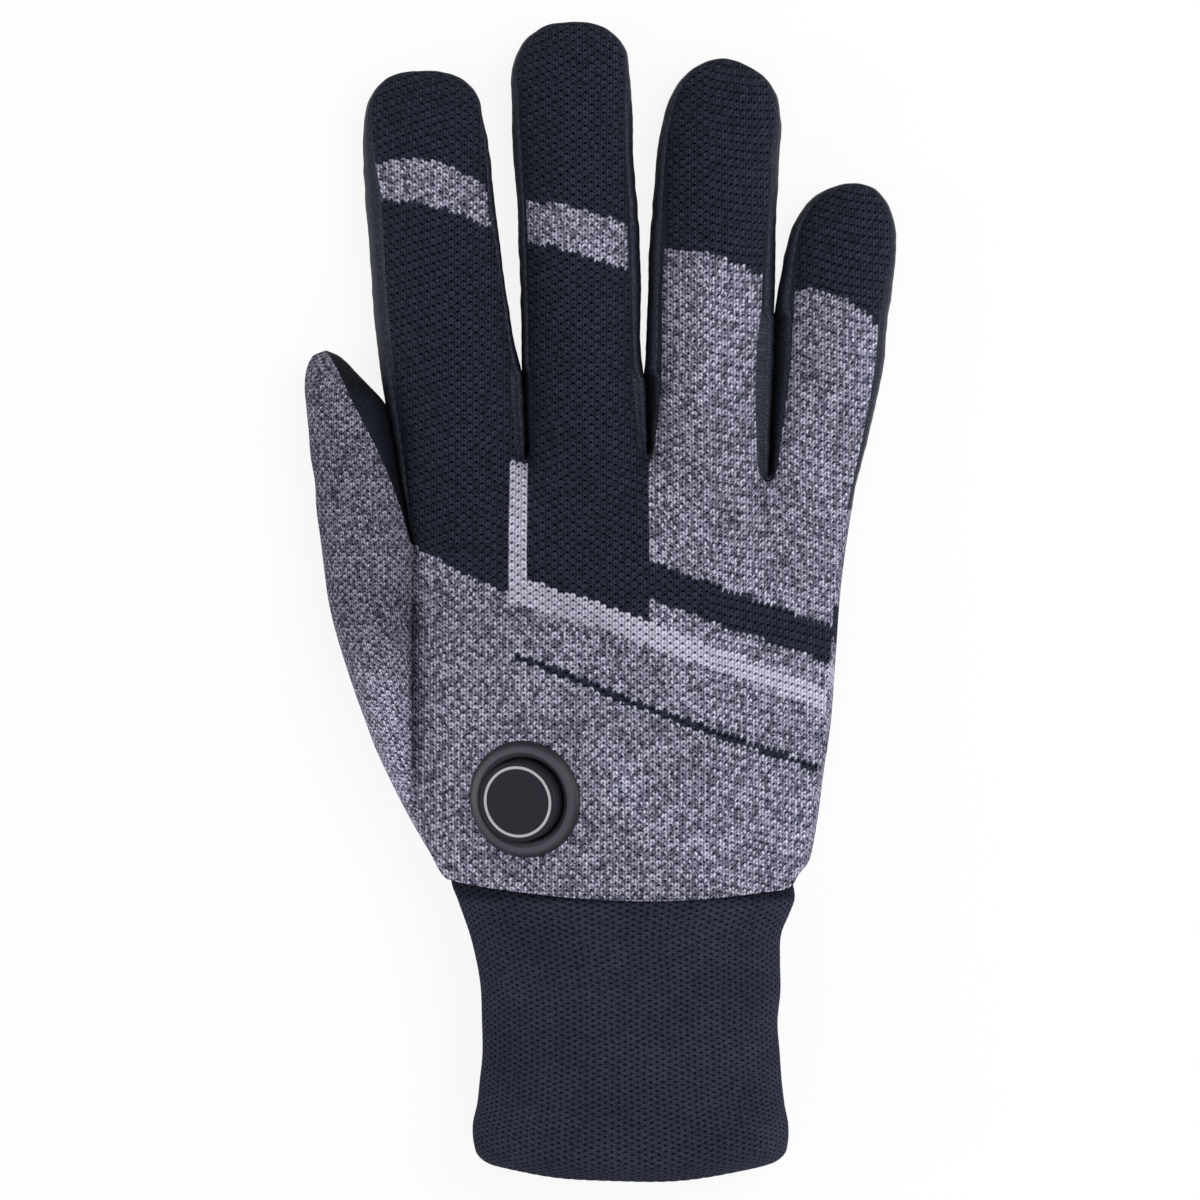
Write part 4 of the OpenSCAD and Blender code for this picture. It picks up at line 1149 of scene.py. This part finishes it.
# ---------------------------------------------------------------- round module
def lengths_along(points):
    """How far each point of a path lies along it."""
    return np.concatenate([[0], np.cumsum(np.hypot(*np.diff(points, axis=0).T))])


def lathe(name, profile, material, node, body, slot):
    """Turned piece about the module's axis; profile rows are radius, height over the cloth plane, in mm."""
    pr = np.array(profile, float)
    n = 128
    R = np.array(Vector((0, 0, 1)).rotation_difference(NORMAL).to_matrix())
    a = np.linspace(0, TURN, n + 1)
    co, uv = [], []
    for (r, h), far_ in zip(pr, lengths_along(pr)):
        ring = np.column_stack([r * np.cos(a), r * np.sin(a), np.full(n + 1, h)])
        co.append(ring @ R.T + BASE * 1000)
        uv.append(np.column_stack([a * 10, np.full(n + 1, far_)]))
    co, uv = np.vstack(co), np.vstack(uv)
    ii = np.arange(len(pr) * (n + 1)).reshape(len(pr), n + 1)
    qd = grid_quads(ii)[:, [0, 3, 2, 1]]
    o = make(name, co, qd, uv, material, None, slot)
    o.data.set_sharp_from_angle(angle=math.radians(35))
    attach(o, body)
    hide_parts(node)


def arc_pts(x, y, r, a0, a1, n, tall=None):
    """Points on an arc from a0 to a1 degrees; tall is its half height, where that isn't r."""
    return [(x + r * math.cos(math.radians(a)), y + (tall or r) * math.sin(math.radians(a)))
            for a in np.linspace(a0, a1, n)]


def radial(node):
    """Radii and heights of a CAD node's points about the module's axis, in mm."""
    co = node_points(node) - BASE
    h = co @ nh
    return np.linalg.norm(co - np.outer(h, nh), axis=1) * 1000, h * 1000


cap_r, cap_h = radial("button_cap")
ring_r, ring_h = radial("light_ring")
PUCK, TOP, HOLD = cap_r.max(), ring_h.max(), HOLD_R * 1000
SKIRT = cap_h[cap_r > PUCK - 0.05].min()       # lower edge of the cap's outer wall
R_IN, R_OUT = ring_r.min(), ring_r.max()
flange_profile = ([(PUCK + 1.3, -2.3), (HOLD - 1.6, -1.6)]
                  + arc_pts(HOLD - 2.5, 0.0, 2.5, -40, 88, 17, 1.9)
                  + [(PUCK + 1.25, 1.62), (PUCK + 0.85, 1.38), (PUCK + 0.58, 1.08), (PUCK + 0.42, 0.72),
                     (PUCK + 0.34, 0.3), (PUCK + 0.32, -2.25), (0.05, -2.25)])
prof = np.array(flange_profile)
CREST = float(lengths_along(prof)[int(np.argmax(prof[:, 1]))])      # where along the profile it is highest
# painted highlight along the flange's crest
RUBBER = painted_crest_highlight("holder_rubber", (0.0160, 0.0165, 0.0230), (0.0530, 0.0540, 0.0720), CREST - 0.1, 1.9)
lathe("holder_flange", flange_profile, RUBBER, "holder", "hand", "holder_rubber")
cap_profile = ([(PUCK - 0.30, SKIRT), (PUCK - 0.12, SKIRT)]
               + arc_pts(PUCK - 0.12, SKIRT + 0.12, 0.12, -60, 0, 4)
               + [(PUCK, TOP - 0.62)] + arc_pts(PUCK - 0.5, TOP - 0.55, 0.5, 0, 90, 9)
               + [(R_OUT + 0.03, TOP - 0.03), (R_OUT + 0.03, TOP - 0.3), (R_IN - 0.03, TOP - 0.3),
                  (R_IN - 0.03, TOP - 0.03), (R_IN - 0.5, TOP), (0.01, TOP + 0.03)])
lathe("cap_shell", cap_profile, FACE, "button_cap", "button", "cap_face")
lathe("cap_ring", [(R_OUT, TOP - 0.3), (R_OUT, TOP - 0.05), (R_OUT - 0.05, TOP + 0.01),
                   (R_IN + 0.05, TOP + 0.01), (R_IN, TOP - 0.05), (R_IN, TOP - 0.3)],
      RING, "light_ring", "button", "light_ring")
for node, mat in (("puck_base", PLASTIC), ("backing_ring", moulded("stiffener", (0.05, 0.05, 0.055), 0.6)),
                  ("circuit_board", moulded("solder_mask", (0.02, 0.13, 0.05), 0.35)),
                  ("coin_cell", metal("cell_steel", (0.66, 0.66, 0.66), 0.28)),
                  ("switch_dome", metal("dome_steel", (0.62, 0.61, 0.58), 0.3)),
                  ("leds", moulded("led_lens", (0.75, 0.72, 0.5), 0.25)),
                  ("seal_ring", moulded("seal_rubber", (0.008, 0.008, 0.010), 0.6, spec=0.2)),
                  ("grip_print", GRIP),
                  ("index_touch_pad", woven("touch_pad", (0.09, 0.09, 0.10))),
                  ("thumb_touch_pad", woven("touch_pad_thumb", (0.09, 0.09, 0.10))),
                  ("care_label", woven("label_tape", (0.72, 0.72, 0.70)))):
    materials = frame["nodes"][node].data.materials
    materials.clear()
    materials.append(mat)

# ---------------------------------------------------------------- floor and world
me = bpy.data.meshes.new("floor")
s = 3.0
me.from_pydata([(-s, -s, -0.0002), (s, -s, -0.0002), (s, s, -0.0002), (-s, s, -0.0002)], [], [(0, 1, 2, 3)])
floor = bpy.data.objects.new("floor", me)
SCENE.collection.objects.link(floor)
fm = bpy.data.materials.new("floor_white")
fm.use_nodes = True
fm.node_tree.nodes.clear()
CAMERA_SHARE = 0.88           # how much of what the camera sees of the floor is its own light
surface = add(fm, "MixShader", {
    0: add(fm, "LightPath", out="Is Camera Ray") * CAMERA_SHARE,
    1: add(fm, "BsdfDiffuse", {0: (0.92, 0.92, 0.93, 1)}, out="BSDF"),
    2: add(fm, "Emission", {0: (1, 1, 1, 1)}, out="Emission")}, out="Shader")
feed(fm, fm.node_tree.nodes.new("ShaderNodeOutputMaterial"), {0: surface})
me.materials.append(fm)

world = bpy.data.worlds.new("world")
SCENE.world = world
world.use_nodes = True
# brighter to the camera than as a light
strength = add(world, "LightPath", out="Is Camera Ray")._do("MULTIPLY_ADD", 0.66, 0.34)
feed(world, world.node_tree.nodes["Background"], {0: (1, 1, 1, 1), 1: strength})
